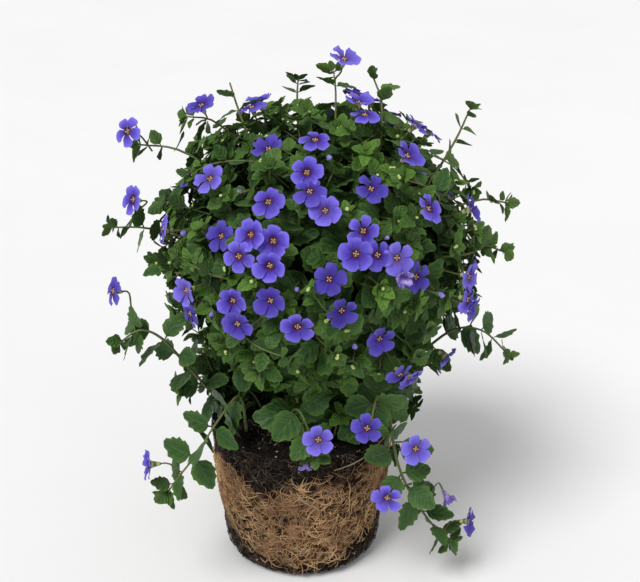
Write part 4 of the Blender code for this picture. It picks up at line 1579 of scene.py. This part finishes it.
@dataclass
class Crown:
    """The dense bush: inner shade, leafy sprigs all round, and the sprigs that stand out of it.

    Shares are of the crown's radius, and angles are degrees to the right of the front.
    """

    green: Greenery
    bush_count: int = 268
    bush_scatter: float = 0.09
    bush_drift: Pair = (0.10, 0.38)
    bush_tips: Pair = (0.88, 1.03)
    foot_share: float = 0.42
    bend_share: float = 0.72
    shade_share: float = 0.68
    runner_count: int = 56
    runner_arcs: Pair = (0.45, 0.75)
    runner_course: tuple[Pair, ...] = ((0.0, 0.72), (0.25, 0.94), (0.6, 1.03), (1.0, 1.06))
    fill_count: int = 150
    fill_tips: Pair = (0.82, 0.94)
    fill_front: float = -0.6
    skirt_count: int = 44
    skirt_reach: float = 0.036
    skirt_span: Pair = (48, 290)
    low_count: int = 34
    low_reach: float = 0.046
    open_soil: Pair = (296, 357)
    foot_depth: float = 0.003

    def grow(self) -> None:
        """Adds every sprig of the crown."""
        self.bush()
        self.runners()
        self.stand_out()
        self.undergrowth()
        self.bright_tips()
        self.fill()
        self.skirt()

    def bush(self) -> None:
        """Adds the leafy sprigs all round."""
        chance = self.green.chance
        for z, out in spiral(self.bush_count):
            out = (out + jitter(chance, self.bush_scatter)).normalized()
            lift = UP * (0.16 if z > -0.25 else -0.10)
            drift = sideways(chance, out) * chance.uniform(*self.bush_drift) + lift
            foot = on_crown(out, self.foot_share)
            bend = on_crown((out + drift * 0.35).normalized(), self.bend_share)
            reach = chance.uniform(*self.bush_tips) - 0.05 * max(0, -z)
            tip = on_crown((out + drift).normalized(), reach)
            path = smooth([foot, bend, tip], 0.009)
            self.green.sprig(clump_of(tip), path, BUSH_HABIT, chance.uniform(0, TURN), 1.0 - 0.14 * z)

    def runners(self) -> None:
        """Adds thin stems with small leaves that lie over the crown's leaves."""
        chance = self.green.chance
        for _, out in spiral(self.runner_count, 0.92, 1.2, 1):
            tangent = sideways(chance, out) - UP * 0.25
            arc = chance.uniform(*self.runner_arcs)
            course = [
                on_crown((out + tangent * arc * share).normalized(), reach)
                for share, reach in self.runner_course
            ]
            path = smooth(course, 0.006)
            turn = chance.uniform(0, TURN)
            if all(self.green.clear(place) for place in path):
                self.green.sprig("runners", path, RUNNER_HABIT, turn)

    def stand_out(self) -> None:
        """Adds the sprigs that reach past the crown's leaves."""
        for i, (right, up, tip, _) in enumerate(SPRIGS):
            direction = heading(right, up)
            start, out = on_crown(direction, 0.65), on_crown(direction, 0.95)
            end = millimetres(tip)
            path = smooth([start, start.lerp(out, 0.6), out.lerp(end, 0.45) + UP * 0.003, end], 0.006)
            self.green.sprig(clump_of(end), path, PROUD_HABIT, i * 0.9)

    def bright_tips(self) -> None:
        """Adds the large bright tips of the front."""
        for right, up, reach in BRIGHT_TIPS:
            direction = heading(right, up)
            tip = on_crown(direction, reach)
            node = clump_of(tip)
            path = smooth([on_crown(direction, 0.7), on_crown(direction, 0.85) + UP * 0.002, tip], 0.006)
            self.green.stems[node].add(path, [0.0009] * len(path))
            self.green.rosette(node, tip, direction, vivid=True)

    def fill(self) -> None:
        """Adds short leafy stems under the leaves of the sides and back, so that little shows through."""
        chance = self.green.chance
        for _, out in spiral(self.fill_count, turn=2):
            if out.y < self.fill_front:
                continue
            tangent = sideways(chance, out)
            tip = on_crown((out + tangent * 0.3).normalized(), chance.uniform(*self.fill_tips))
            path = smooth([on_crown(out, 0.58), on_crown(out, 0.74), tip], 0.008)
            self.green.sprig("inner", path, INNER_HABIT, chance.uniform(0, TURN))

    def skirt(self) -> None:
        """Adds leafy shoots that lean out over the rim, under the crown's sides and back."""
        chance = self.green.chance
        first, last = self.skirt_span
        for i in range(self.skirt_count):
            right = i * math.degrees(GOLDEN) % 360
            if not first < right < last:
                continue
            out = heading(right, 0)
            foot = PLUG.surface(*(out * self.skirt_reach).xy, self.foot_depth)
            bend = out * chance.uniform(0.046, 0.054) + UP * chance.uniform(0.116, 0.128)
            tip = out * chance.uniform(0.060, 0.082) + UP * chance.uniform(0.106, 0.146)
            tip += jitter(chance, 0.006)
            path = smooth([foot, bend, tip], 0.006)
            self.green.sprig(clump_of(tip), path, SKIRT_HABIT, chance.uniform(0, TURN))

    def undergrowth(self) -> None:
        """Adds short leafy shoots round the stems' feet, but for the open soil at the front's left."""
        chance = self.green.chance
        first, last = self.open_soil
        for i in range(self.low_count):
            right = i * math.degrees(GOLDEN) % 360
            radius = self.low_reach * math.sqrt((i + 1) / self.low_count)
            if first < right < last and radius > 0.012:
                continue
            out = heading(right, 0)
            foot = PLUG.surface(*(out * radius).xy, self.foot_depth)
            height = chance.uniform(0.012, 0.024)
            lean = chance.uniform(0.008, 0.020)
            tip = foot + out * lean + UP * height + jitter(chance, 0.004)
            path = smooth([foot, foot.lerp(tip, 0.5) + UP * 0.004, tip], 0.006)
            scale = chance.uniform(0.80, 1.0)
            self.green.sprig(clump_of(tip), path, LOW_HABIT, chance.uniform(0, TURN), scale)

    def shade(self) -> Piece:
        """Makes a lumpy near-black ball inside the crown, painted shade that shows only through the gaps
        between the leaves.

        Returns:
            The piece.
        """
        shape = bmesh.new()
        bmesh.ops.create_icosphere(shape, subdivisions=5, radius=1)
        for vert in shape.verts:
            rough = 1 + 0.16 * noise.noise(vert.co * 4.5) + 0.08 * noise.noise(vert.co * 13)
            vert.co = on_crown(vert.co, self.shade_share * rough)
        return show_shape("inner_shade", shape, Tint.SHADE, rounded=False)


@dataclass
class Flowers:
    """Petals, throats, calyces and stalks of every bloom, and its closed buds and withered blooms."""

    seed: int = 23
    kinds_count: int = 8
    anther_ring: float = 0.00114
    anther_radius: float = 0.00057
    stigma_radius: float = 0.00042
    anther_half_height: float = 0.00070
    stalk_radius: float = 0.00055
    bud_count: int = 26
    bud_shares: Pair = (0.98, 1.04)
    bud_sizes: Pair = (0.70, 0.95)
    withered_size: float = 0.55
    anthers: Copies = field(default_factory=Copies)
    stigmas: Copies = field(default_factory=Copies)
    calyces: Copies = field(default_factory=Copies)
    buds: Copies = field(default_factory=Copies)
    withered: Copies = field(default_factory=Copies)
    stalks: Tubes = field(default_factory=Tubes)

    def __post_init__(self) -> None:
        """Prepares the shapes: blooms more or less open, crumpled ones, and the small parts."""
        self.chance = np.random.default_rng(self.seed)
        self.kinds = [
            BloomShape(
                openness=-0.05 + 0.07 * i, curl=0.05 + 0.10 * (i % 3), ripple=0.0006 + 0.0003 * (i % 4),
                seed=i * 3.0, breadth=0.92 + 0.05 * (i * 3 % 5),
            ).pattern()
            for i in range(self.kinds_count)
        ]
        self.crumpled = [
            BloomShape(openness=1.5 + 0.5 * i, curl=1.0, ripple=0.003, seed=40 + i).pattern()
            for i in range(len(WITHERED))
        ]
        self.folded = BudShape().pattern()
        self.anther = ball_pattern()
        self.calyx = CalyxShape().pattern()

    def add(self, petals: Copies, bloom: Bloom, root: Vector) -> None:
        """Adds a bloom with all its parts, its two shorter petals upwards.

        Args:
            petals: the copies that its petals join.
            bloom: the flower.
            root: where its stalk leaves its stem.
        """
        matrix = bloom.matrix()
        lean = matrix.to_3x3().transposed() @ UP
        fifth = round(math.atan2(lean.y, lean.x) / (TURN / PETALS))
        matrix = matrix @ Matrix.Rotation(fifth * TURN / PETALS, 4, "Z")
        kind = self.kinds[self.chance.integers(len(self.kinds))]
        # A half-hidden bloom gets tone 1, which paints shade on its petals; the others get a random tone
        petals.add(kind, matrix, 1.0 if bloom.deep_shaded else float(self.chance.uniform(0, 1)))
        self.add_middle(matrix)
        self.stand(bloom, matrix, root)

    def add_middle(self, matrix: Matrix) -> None:
        """Adds the stigma in a bloom's throat and the ring of anthers round it.

        Args:
            matrix: where the bloom's own shape goes.
        """
        squeeze = Matrix.Diagonal((self.stigma_radius, self.stigma_radius, self.anther_half_height, 1))
        self.stigmas.add(self.anther, matrix @ Matrix.Translation((0, 0, -0.0004)) @ squeeze)
        squeeze = Matrix.Diagonal((self.anther_radius, self.anther_radius, self.anther_half_height, 1))
        for i in range(1, ANTHERS + 1):
            angle = i * TURN / ANTHERS + 0.3
            seat = Matrix.Translation(around(angle, self.anther_ring, -0.0004 + 0.0003 * (i % 2)))
            self.anthers.add(self.anther, matrix @ seat @ squeeze)

    def stand(self, bloom: Bloom, matrix: Matrix, root: Vector) -> None:
        """Adds a bloom's or bud's calyx and its stalk.

        Args:
            bloom: the flower or bud.
            matrix: where its own shape goes.
            root: where its stalk leaves its stem.
        """
        self.calyces.add(self.calyx, matrix)
        end = bloom.foot() + bloom.facing * 0.0012
        bend = end - bloom.facing * 0.006
        path = smooth([root, root.lerp(bend, 0.6) + UP * 0.001, bend, end], 0.004)
        self.stalks.add(path, [self.stalk_radius] * len(path))

    def add_buds(self, clear: Callable[[Vector], bool]) -> None:
        """Adds closed buds round the crown and at their known places.

        Args:
            clear: says whether a point covers no flower.
        """
        chance = self.chance
        plans = [(millimetres(place), Vector(facing).normalized()) for place, facing in BUD_PLACES]
        for _, out in spiral(self.bud_count, 0.95, 1.35):
            place = on_crown(out, chance.uniform(*self.bud_shares))
            plans.append((place, (out + jitter(chance, 0.4)).normalized()))
        for place, facing in plans:
            if clear(place):
                bud = Bloom(place, facing, chance.uniform(0, TURN), chance.uniform(*self.bud_sizes))
                matrix = bud.matrix()
                self.buds.add(self.folded, matrix)
                self.stand(bud, matrix, CROWN_CENTRE.lerp(bud.foot(), 0.8))

    def add_withered(self, stems: Iterable[Sequence[Vector]]) -> None:
        """Adds the faded blooms, each hanging from the nearest stem.

        Args:
            stems: the points of the stems that they may hang from.
        """
        points = [point for stem in stems for point in stem]
        for kind, (place, facing) in zip(self.crumpled, WITHERED):
            bloom = Bloom(millimetres(place), Vector(facing).normalized(), size=self.withered_size)
            matrix = bloom.matrix()
            self.withered.add(kind, matrix)
            inner = CROWN_CENTRE.lerp(bloom.centre, 0.85)
            self.stand(bloom, matrix, nearest([*points, inner], bloom.foot()))

    def build(self) -> list[tuple[Piece, str]]:
        """Makes the pieces that all blooms share.

        Returns:
            Each piece with its slot.
        """
        return [
            (self.buds.build("flower_buds", Tint.LILAC), "petals"),
            (self.withered.build("flowers_withered", Tint.FADED), "petals"),
            (self.anthers.build("anthers", Tint.ANTHER), "petals"),
            (self.stigmas.build("stigmas", Tint.STIGMA), "petals"),
            (self.calyces.build("calyces", Tint.CALYX), "foliage"),
            (self.stalks.build("flower_stalks", Tint.STEM), "foliage"),
        ]


@dataclass(frozen=True)
class StrandKind:
    """One kind of root strand: how many, how long, thick and curly, and where they lie on the plug.

    They may reach below and above the root mat's edges. Those that lie outside keep off the mat.
    """

    name: str
    tint: Tint
    count: int
    length: Pair
    radius: Pair
    proud: Pair
    curl: float
    step: float = 0.0032
    below: float = -0.001
    above: float = 0.001
    outside: bool = False


class Strands(Enum):
    """The kinds of strands: fine tan ones, rusty, bold and pale ones, and dark ones on the compost."""

    FINE = StrandKind(
        "roots_fine", Tint.ROOT, 3900, (0.006, 0.018), (0.00011, 0.00025), (0.0012, 0.0027),
        curl=0.27, step=0.0021, below=-0.003, above=0.003)
    RUSTY = StrandKind(
        "roots_rusty", Tint.RUSTY_ROOT, 1150, (0.006, 0.018), (0.00012, 0.00024), (0.0012, 0.0026),
        curl=0.32, step=0.0021, below=-0.006, above=0.008)
    BOLD = StrandKind(
        "roots_bold", Tint.ROOT, 210, (0.012, 0.028), (0.00026, 0.00040), (0.0017, 0.0027), curl=0.30)
    PALE = StrandKind(
        "roots_pale", Tint.PALE_ROOT, 60, (0.008, 0.022), (0.00016, 0.00026), (0.0023, 0.0029), curl=0.25)
    DARK = StrandKind(
        "roots_dark", Tint.DARK_ROOT, 2500, (0.005, 0.014), (0.00010, 0.00022), (0.0002, 0.0013),
        curl=0.45, step=0.0022, below=-0.034, above=0.036, outside=True)


@dataclass
class RootBall:
    """Compost plug with crumbs and grit, and the net of roots round it."""

    seed: int = 11
    sides: int = 144
    flat_foot: float = 0.004
    felt_sides: int = 240
    felt_rows: int = 40
    felt_proud: float = 0.0014
    felt_sunk: float = -0.0012
    top_crumbs: int = 2900
    upper_crumbs: int = 1000
    lower_crumbs: int = 500
    crumb_sizes: Pair = (0.0005, 0.0012)
    grit_share: float = 0.16
    grit_size: float = 0.0009
    lowest: float = 0.002
    highest: float = 0.094
    strand_ends: float = 0.72
    strand_sunk: float = 0.0012
    edge_fade: float = 0.008
    stray_radius: float = 0.00032
    stray_course: tuple[Place, ...] = (
        (20, 0.0850, 0.0022), (33, 0.0868, 0.0026), (47, 0.0895, 0.0024), (62, 0.0925, 0.0016),
    )
    bit_count: int = 170

    def __post_init__(self) -> None:
        """Starts the row of random numbers."""
        self.chance = np.random.default_rng(self.seed)

    def profile(self) -> list[Pair]:
        """Draws half of the plug's section, from the middle of its base to the middle of its top.

        Returns:
            The radius and height of each point.
        """
        shoulder = PLUG.height - PLUG.rim_round
        base = [(radius, 0.0) for radius in (0.0, 0.015, 0.030)]
        foot = [(PLUG.radius(height), height) for height in (0, 0.0015, 0.003, 0.006)]
        side = [(PLUG.radius(height), height) for height in np.linspace(0.010, shoulder, 30)]
        bend = [
            (PLUG.rim_radius - PLUG.rim_round * (1 - math.cos(angle)),
             PLUG.height - PLUG.rim_round * (1 - math.sin(angle)))
            for angle in (0.4, 0.8, 1.2, 1.57)
        ]
        brim = PLUG.rim_radius - PLUG.rim_round - 0.002
        return base + foot + side + bend + [(radius, PLUG.height) for radius in np.linspace(brim, 0, 24)]

    def compost(self) -> Piece:
        """Makes the plug: its profile spun round, roughened by noise, flat below.

        Returns:
            The piece.
        """
        shape = bmesh.new()
        spin_round(shape, self.profile(), self.sides)
        bmesh.ops.remove_doubles(shape, verts=shape.verts[:], dist=MERGE)
        for vert in shape.verts:
            if vert.co.z > PLUG.height - MERGE:
                vert.co.z = PLUG.top(vert.co.x, vert.co.y)
            if vert.co.z > self.flat_foot:
                sideward = vert.co.z < PLUG.height - 0.003
                away = Vector((vert.co.x, vert.co.y, 0)).normalized() if sideward else UP
                vert.co += away * PLUG.crumble(vert.co)
        bmesh.ops.recalc_face_normals(shape, faces=shape.faces[:])
        return show_shape("compost", shape, Tint.COMPOST)

    def on_top(self, place: Vector, size: float) -> Vector:
        """Gives the centre of a crumb that lies on the compost's top."""
        at = PLUG.surface(place.x, place.y)
        return at + UP * (PLUG.crumble(at) + size * 0.35)

    def on_side(self, out: Vector, height: float, size: float) -> Vector:
        """Gives the centre of a crumb that sits in the compost's side."""
        at = out * PLUG.radius(height) + UP * height
        return at + out * (PLUG.crumble(at) + size * 0.25)

    def crumbs(self) -> list[Piece]:
        """Makes the crumbs and pale grit on the compost's top, and on its side above and below the mat.

        Returns:
            The two pieces.
        """
        chance = self.chance
        kinds = [ball_pattern(0.7, seed) for seed in range(4)]
        crumbs, grit = Copies(), Copies()
        for i in range(self.top_crumbs + self.upper_crumbs + self.lower_crumbs):
            angle = chance.uniform(0, TURN)
            out = around(angle)
            size = chance.uniform(*self.crumb_sizes)
            low, top = MAT.edges(angle)
            if i < self.top_crumbs:
                size *= 2 if i % 6 == 0 else 1
                place = out * (PLUG.rim_radius - 0.003) * math.sqrt(chance.uniform(0, 1))
                at = self.on_top(place, size)
            elif i < self.top_crumbs + self.upper_crumbs:
                at = self.on_side(out, chance.uniform(top, 0.096), size)
            else:
                at = self.on_side(out, chance.uniform(self.flat_foot, low + self.flat_foot), size)
            pale = chance.uniform() < self.grit_share and size < self.grit_size
            turn = Matrix.Rotation(chance.uniform(0, TURN), 4, Vector(chance.normal(0, 1, 3)).normalized())
            squeeze = Vector((1, chance.uniform(0.6, 1), chance.uniform(0.5, 0.9))) * size
            matrix = Matrix.Translation(at) @ turn @ Matrix.Diagonal((*squeeze, 1))
            (grit if pale else crumbs).add(kinds[i % 4], matrix)
        return [
            crumbs.build("compost_crumbs", Tint.CRUMB),
            grit.build("compost_grit", Tint.GRIT),
        ]

    def felt_place(self, angle: float, share: float, outer: bool) -> tuple[Vector, float]:
        """Finds a point of the felt.

        Args:
            angle: where round the plug.
            share: how far up from the felt's lower edge to its upper edge.
            outer: whether it is on the outer side.

        Returns:
            The point, and how dark the felt is there, from 0 to 1.
        """
        low, top = MAT.edges(angle)
        height = low + (top - low) * share
        at = around(angle, height=height * 18)
        edge = min(share, 1 - share)
        pit = clamp((MAT.pit_edge + 0.12 - MAT.pit(angle, height)) / 0.2)
        fade = clamp(1.1 - edge / 0.10 + 0.9 * noise.noise(at * 9))
        radius = PLUG.radius(height) + self.felt_sunk
        if outer:
            rough = 0.0011 * noise.noise(at * 5) + 0.0008 * noise.noise(at * 13)
            sink = 0.0022 * max(0.0, 1 - edge / 0.09) + 0.0009 * pit
            radius = PLUG.radius(height) + self.felt_proud + rough - sink
        return around(angle, radius, height), max(pit, fade)

    def felt(self) -> Piece:
        """Makes the felt of roots under the loose strands, a closed sleeve with ragged edges.

        Returns:
            The piece.
        """
        shape = bmesh.new()
        shade = shape.verts.layers.float.new("shade")
        circle = bmesh.ops.create_circle(shape, segments=self.felt_sides, radius=PLUG.rim_radius)["verts"]
        layers = [(row / (self.felt_rows - 1), True) for row in range(self.felt_rows)]
        layers += [(0.85, False), (0.15, False)]
        rings = [circle]
        first = list(dict.fromkeys(edge for vert in circle for edge in vert.link_edges))
        last = first
        for _ in layers[1:]:
            grown = bmesh.ops.extrude_edge_only(shape, edges=last)["geom"]
            rings.append([part for part in grown if isinstance(part, bmesh.types.BMVert)])
            last = [part for part in grown if isinstance(part, bmesh.types.BMEdge)]
        bmesh.ops.bridge_loops(shape, edges=first + last)
        for ring, (share, outer) in zip(rings, layers):
            for vert in ring:
                vert.co, vert[shade] = self.felt_place(math.atan2(vert.co.y, vert.co.x), share, outer)
        bmesh.ops.recalc_face_normals(shape, faces=shape.faces[:])
        return show_shape("root_felt", shape, Tint.MAT)

    def strand(self, tubes: Tubes, kind: StrandKind, angle: float, height: float) -> None:
        """Adds one root that wanders over the plug's side and often dives in where it meets a pit.

        Args:
            tubes: the lines that it joins.
            kind: how long, thick and curly it is, and where it lies.
            angle: where it starts round the plug.
            height: the height where it starts.
        """
        chance = self.chance
        length = chance.uniform(*kind.length)
        radius = chance.uniform(*kind.radius)
        proud = chance.uniform(*kind.proud)
        slope = chance.uniform(-math.pi / 2, math.pi / 2) + math.pi * chance.integers(2)
        count = max(3, int(length / kind.step))
        bend = chance.normal(0, kind.curl / 2)
        points = []
        for i in range(count + 1):
            low, top = MAT.edges(angle)
            height = min(max(height, low + kind.below, self.lowest), top + kind.above, self.highest)
            in_pit = not kind.outside and MAT.pit(angle, height) < MAT.pit_edge
            ends = in_pit and chance.uniform() < self.strand_ends
            lift = proud + chance.uniform(-0.0003, 0.0003)
            if i in (0, count) or ends:
                lift -= self.strand_sunk
            points.append(around(angle, PLUG.radius(height) + lift, height))
            slope += bend + chance.normal(0, kind.curl)
            angle += math.cos(slope) * kind.step / PLUG.rim_radius
            height += math.sin(slope) * kind.step
            if ends:
                break
        last = max(len(points) - 1, 1)
        if len(points) > 1:
            swell = [math.sin(math.pi * (0.15 + 0.7 * i / last)) for i in range(last + 1)]
            tubes.add(points, [radius * (0.55 + 0.45 * wide) for wide in swell])

    def spread(self, kind: StrandKind) -> Piece:
        """Makes all strands of a kind, fewer where the net has its dark pits.

        Args:
            kind: the strands' sizes and number.

        Returns:
            The piece.
        """
        tubes = Tubes()
        while tubes.count < kind.count:
            angle = self.chance.uniform(0, TURN)
            low, top = MAT.edges(angle)
            lowest, highest = max(low + kind.below, self.lowest), min(top + kind.above, self.highest)
            height = self.chance.uniform(lowest, highest)
            edge = min(height - low, top - height)
            if kind.outside:
                skipped = edge > 0.003
            else:
                in_pit = MAT.pit(angle, height) < MAT.pit_edge + 0.05
                skipped = in_pit or edge / self.edge_fade < self.chance.uniform(0, 1)
            if not skipped:
                self.strand(tubes, kind, angle, height)
        return tubes.build(kind.name, kind.tint)

    def net(self) -> list[Piece]:
        """Makes the strands of every kind and the stray roots."""
        return [*(self.spread(kind.value) for kind in Strands), self.stray()]

    def stray(self) -> Piece:
        """Makes one long pale root that stands off the front's right, and loose bits on the compost.

        Returns:
            The piece.
        """
        chance = self.chance
        tubes = Tubes()
        course = []
        for degrees, height, proud in self.stray_course:
            out = heading(degrees, 0) * (PLUG.radius(height) + proud)
            course.append(Vector((out.x, out.y, height)))
        path = smooth(course, 0.003)
        tubes.add(path, [self.stray_radius] * len(path))
        for _ in range(self.bit_count):
            radius = (PLUG.rim_radius - 0.006) * math.sqrt(chance.uniform(0, 1))
            angle, turn = chance.uniform(0, TURN, 2)
            at = around(angle, radius)
            reach = around(turn) * chance.uniform(0.0015, 0.0045)
            bit = [at - reach, at + reach * 0.1 + jitter(chance, 0.0006), at + reach]
            for point in bit:
                point.z = PLUG.top(point.x, point.y)
                point.z += PLUG.crumble(point) + 0.0005
            tubes.add(bit, [0.00009, 0.00014, 0.00008])
        return tubes.build("roots_stray", Tint.PALE_ROOT)


@dataclass(frozen=True)
class Studio:
    """Pale floor, soft light and the camera at the photograph's viewing angle, in metres and degrees."""

    distance: float = 0.70
    height_angle: float = 21.0
    tilt: float = 23.06
    lens: float = 64.1
    sensor: float = 36
    floor_radius: float = 9
    sun_from: Place = (-0.45, -0.60, 1.0)
    sun_width: float = 26
    sun_strength: float = 2.3
    fill_from: Place = (0.9, -0.9, 0.30)
    fill_distance: float = 1.6
    fill_size: float = 1.2
    fill_power: float = 3
    sky_strength: float = 0.5

    def build(self) -> None:
        """Makes the floor, the lights, the sky and the camera."""
        shape = bmesh.new()
        bmesh.ops.create_circle(shape, cap_ends=True, segments=96, radius=self.floor_radius)
        show_shape("floor", shape, Tint.FLOOR, rounded=False)
        self.lights()
        self.sky()
        self.camera()
        bpy.context.scene.view_settings.view_transform = "Standard"

    def place(self, name: str, data: bpy.types.ID, at: Vector, look: Vector) -> Piece:
        """Puts a lamp or camera into the scene.

        Args:
            name: the object's name.
            data: the lamp or camera.
            at: where it is.
            look: where it looks.

        Returns:
            The object.
        """
        thing = bpy.data.objects.new(name, data)
        bpy.context.scene.collection.objects.link(thing)
        thing.location = at
        thing.rotation_mode = "QUATERNION"
        thing.rotation_quaternion = look.to_track_quat("-Z", "Y")
        return thing

    def lights(self) -> None:
        """Adds the even main light from above the front's left, and a weak square lamp at the right."""
        key = bpy.data.lights.new("key", "SUN")
        key.energy = self.sun_strength
        key.angle = math.radians(self.sun_width)
        self.place("key", key, Vector(), -Vector(self.sun_from))
        fill = bpy.data.lights.new("fill", "AREA")
        fill.energy = self.fill_power
        fill.size = self.fill_size
        out = Vector(self.fill_from)
        self.place("fill", fill, CROWN_CENTRE + out.normalized() * self.fill_distance, -out)

    def sky(self) -> None:
        """Gives the scene a white sky."""
        world = bpy.data.worlds.new("studio")
        world.use_nodes = True
        background = world.node_tree.nodes["Background"]
        background.inputs["Color"].default_value = (1, 1, 1, 1)
        background.inputs["Strength"].default_value = self.sky_strength
        bpy.context.scene.world = world

    def camera(self) -> None:
        """Makes the camera and gives it to the scene."""
        data = bpy.data.cameras.new("camera")
        data.lens = self.lens
        data.sensor_width = self.sensor
        data.clip_start, data.clip_end = 0.01, 50
        tilt = math.radians(self.tilt)
        at = CROWN_CENTRE + heading(0, self.height_angle) * self.distance
        look = Vector((0, math.cos(tilt), -math.sin(tilt)))
        bpy.context.scene.camera = self.place("camera", data, at, look)


class Bacopa:
    """The whole plant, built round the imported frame."""

    def __init__(self, nodes: Iterable[str]) -> None:
        """Prepares the layout of the blooms.

        Args:
            nodes: the names of the CAD nodes.
        """
        self.nodes = set(nodes)
        self.triangles = 0
        self.groups = crown_groups()
        self.shoot_blooms = [
            (route.name, Bloom(millimetres(centre), Vector(facing).normalized(), spin=i * 1.3))
            for route in SHOOTS for i, (centre, facing) in enumerate(route.blooms)
        ]
        self.sprig_blooms = [
            (millimetres(tip), Bloom(millimetres(bloom[0]), Vector(bloom[1]).normalized(), spin=i * 1.1))
            for i, (_, _, tip, bloom) in enumerate(SPRIGS) if bloom
        ]
        known = [bloom for group in self.groups for bloom in group]
        known += [bloom for _, bloom in self.shoot_blooms + self.sprig_blooms]
        self.shy = self.shy_blooms(known)
        self.green = Greenery(known + self.shy)
        self.flowers = Flowers()

    def shy_blooms(self, known: list[Bloom]) -> list[Bloom]:
        """Places the blooms that are half hidden among the leaves.

        Args:
            known: the blooms that they must not cover.

        Returns:
            The shy blooms.
        """
        blooms = []
        for right, up, reach in SHY_BLOOMS:
            direction = heading(right, up)
            bloom = Bloom(on_crown(direction, reach), (direction + UP * 0.1).normalized(), deep_shaded=True)
            if not any(other.hides(bloom.centre) for other in known):
                blooms.append(bloom)
        return blooms

    def keep(self, piece: Piece, slot: str, *nodes: str) -> None:
        """Makes a piece ride on the root body.

        Args:
            piece: the piece.
            slot: its material slot; not used.
            nodes: the CAD nodes that it stands for.
        """
        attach(piece, "root")
        if nodes:
            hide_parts(*nodes)
        triangles = sum(len(face.vertices) - 2 for face in piece.data.polygons)
        self.triangles += triangles
        LOG.info("%s: %d triangles, %d so far", piece.name, triangles, self.triangles)

    def build(self) -> None:
        """Builds every piece of the plant."""
        self.build_root_ball()
        paths = self.build_greenery()
        self.build_crown_blooms()
        self.build_loose_blooms(paths)
        self.flowers.add_buds(self.green.clear)
        self.flowers.add_withered(paths.values())
        for piece, slot in self.flowers.build():
            self.keep(piece, slot)

    def build_root_ball(self) -> None:
        """Builds compost, crumbs and roots."""
        ball = RootBall()
        self.keep(ball.compost(), "compost", "compost_plug")
        for piece in ball.crumbs():
            self.keep(piece, "compost")
        self.keep(ball.felt(), "roots", "root_mat")
        for piece in ball.net():
            self.keep(piece, "roots")

    def build_greenery(self) -> dict[str, list[Vector]]:
        """Builds the crown, its main stems and the shoots.

        Returns:
            Each shoot's path.
        """
        green = self.green
        crown = Crown(green)
        crown.grow()
        paths = self.grow_shoots()
        self.add_main_stems()
        for name, copies in green.leaves.items():
            self.keep(copies.build(f"leaves_{name}", Tint.LEAF), "foliage", *(self.nodes & {name}))
        for name, tubes in green.stems.items():
            self.keep(tubes.build(f"stems_{name}", Tint.STEM), "foliage")
        self.keep(green.buds.build("leaf_buds", Tint.BUD), "foliage")
        self.keep(crown.shade(), "foliage")
        return paths

    def grow_shoots(self) -> dict[str, list[Vector]]:
        """Adds the leafy shoots that come up near the rim.

        Returns:
            Each shoot's path.
        """
        paths = {}
        for route in SHOOTS:
            foot = PLUG.surface(*(value / 1000 for value in route.foot), 0.006)
            course = [foot, foot + UP * 0.010, *(millimetres(place) for place in route.points)]
            paths[route.name] = smooth(course, 0.004)
            self.green.sprig(route.name, paths[route.name], SHOOT_HABIT)
        return paths

    def add_main_stems(self) -> None:
        """Adds the clumps' main stems, which stand in the compost."""
        for name, places in CLUMP_FEET.items():
            for place in places:
                foot = PLUG.surface(*(value / 1000 for value in place), 0.004)
                path = smooth([foot, foot + UP * 0.012, CROWN_CENTRE.lerp(foot, 0.15)], 0.006)
                self.green.stems[name].add(path, [0.0021] * len(path))

    def build_crown_blooms(self) -> None:
        """Builds the petals of each group of the crown, for its own node."""
        for i, group in enumerate(self.groups):
            front = i < len(FRONT_BLOOMS)
            name = f"front_{i + 1:02d}" if front else f"back_{i + 1 - len(FRONT_BLOOMS):02d}"
            petals = Copies()
            for bloom in group:
                self.flowers.add(petals, bloom, CROWN_CENTRE.lerp(bloom.centre, 0.66))
            self.keep(petals.build(f"flower_{name}", Tint.PETAL), "petals", f"bloom_{name}")

    def build_loose_blooms(self, paths: dict[str, list[Vector]]) -> None:
        """Builds the petals of the blooms on shoots and sprigs, each for its node, and of the shy ones.

        Args:
            paths: each shoot's path.
        """
        loose = [(bloom, nearest(paths[name], bloom.foot())) for name, bloom in self.shoot_blooms]
        loose += [(bloom, tip.lerp(CROWN_CENTRE, 0.06)) for tip, bloom in self.sprig_blooms]
        for i, (bloom, root) in enumerate(loose, 1):
            petals = Copies()
            self.flowers.add(petals, bloom, root)
            name = f"shoot_{i:02d}"
            self.keep(petals.build(f"flower_{name}", Tint.PETAL), "petals", f"bloom_{name}")
        petals = Copies()
        for bloom in self.shy:
            self.flowers.add(petals, bloom, CROWN_CENTRE.lerp(bloom.centre, 0.7))
        self.keep(petals.build("flowers_shy", Tint.PETAL), "petals")


def main() -> None:
    """Loads the frame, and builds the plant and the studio."""
    logging.basicConfig(level=logging.INFO, format="%(name)s: %(message)s")
    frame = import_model()
    plant = Bacopa(frame["nodes"])
    plant.build()
    Studio().build()


if __name__ == "__main__":
    main()
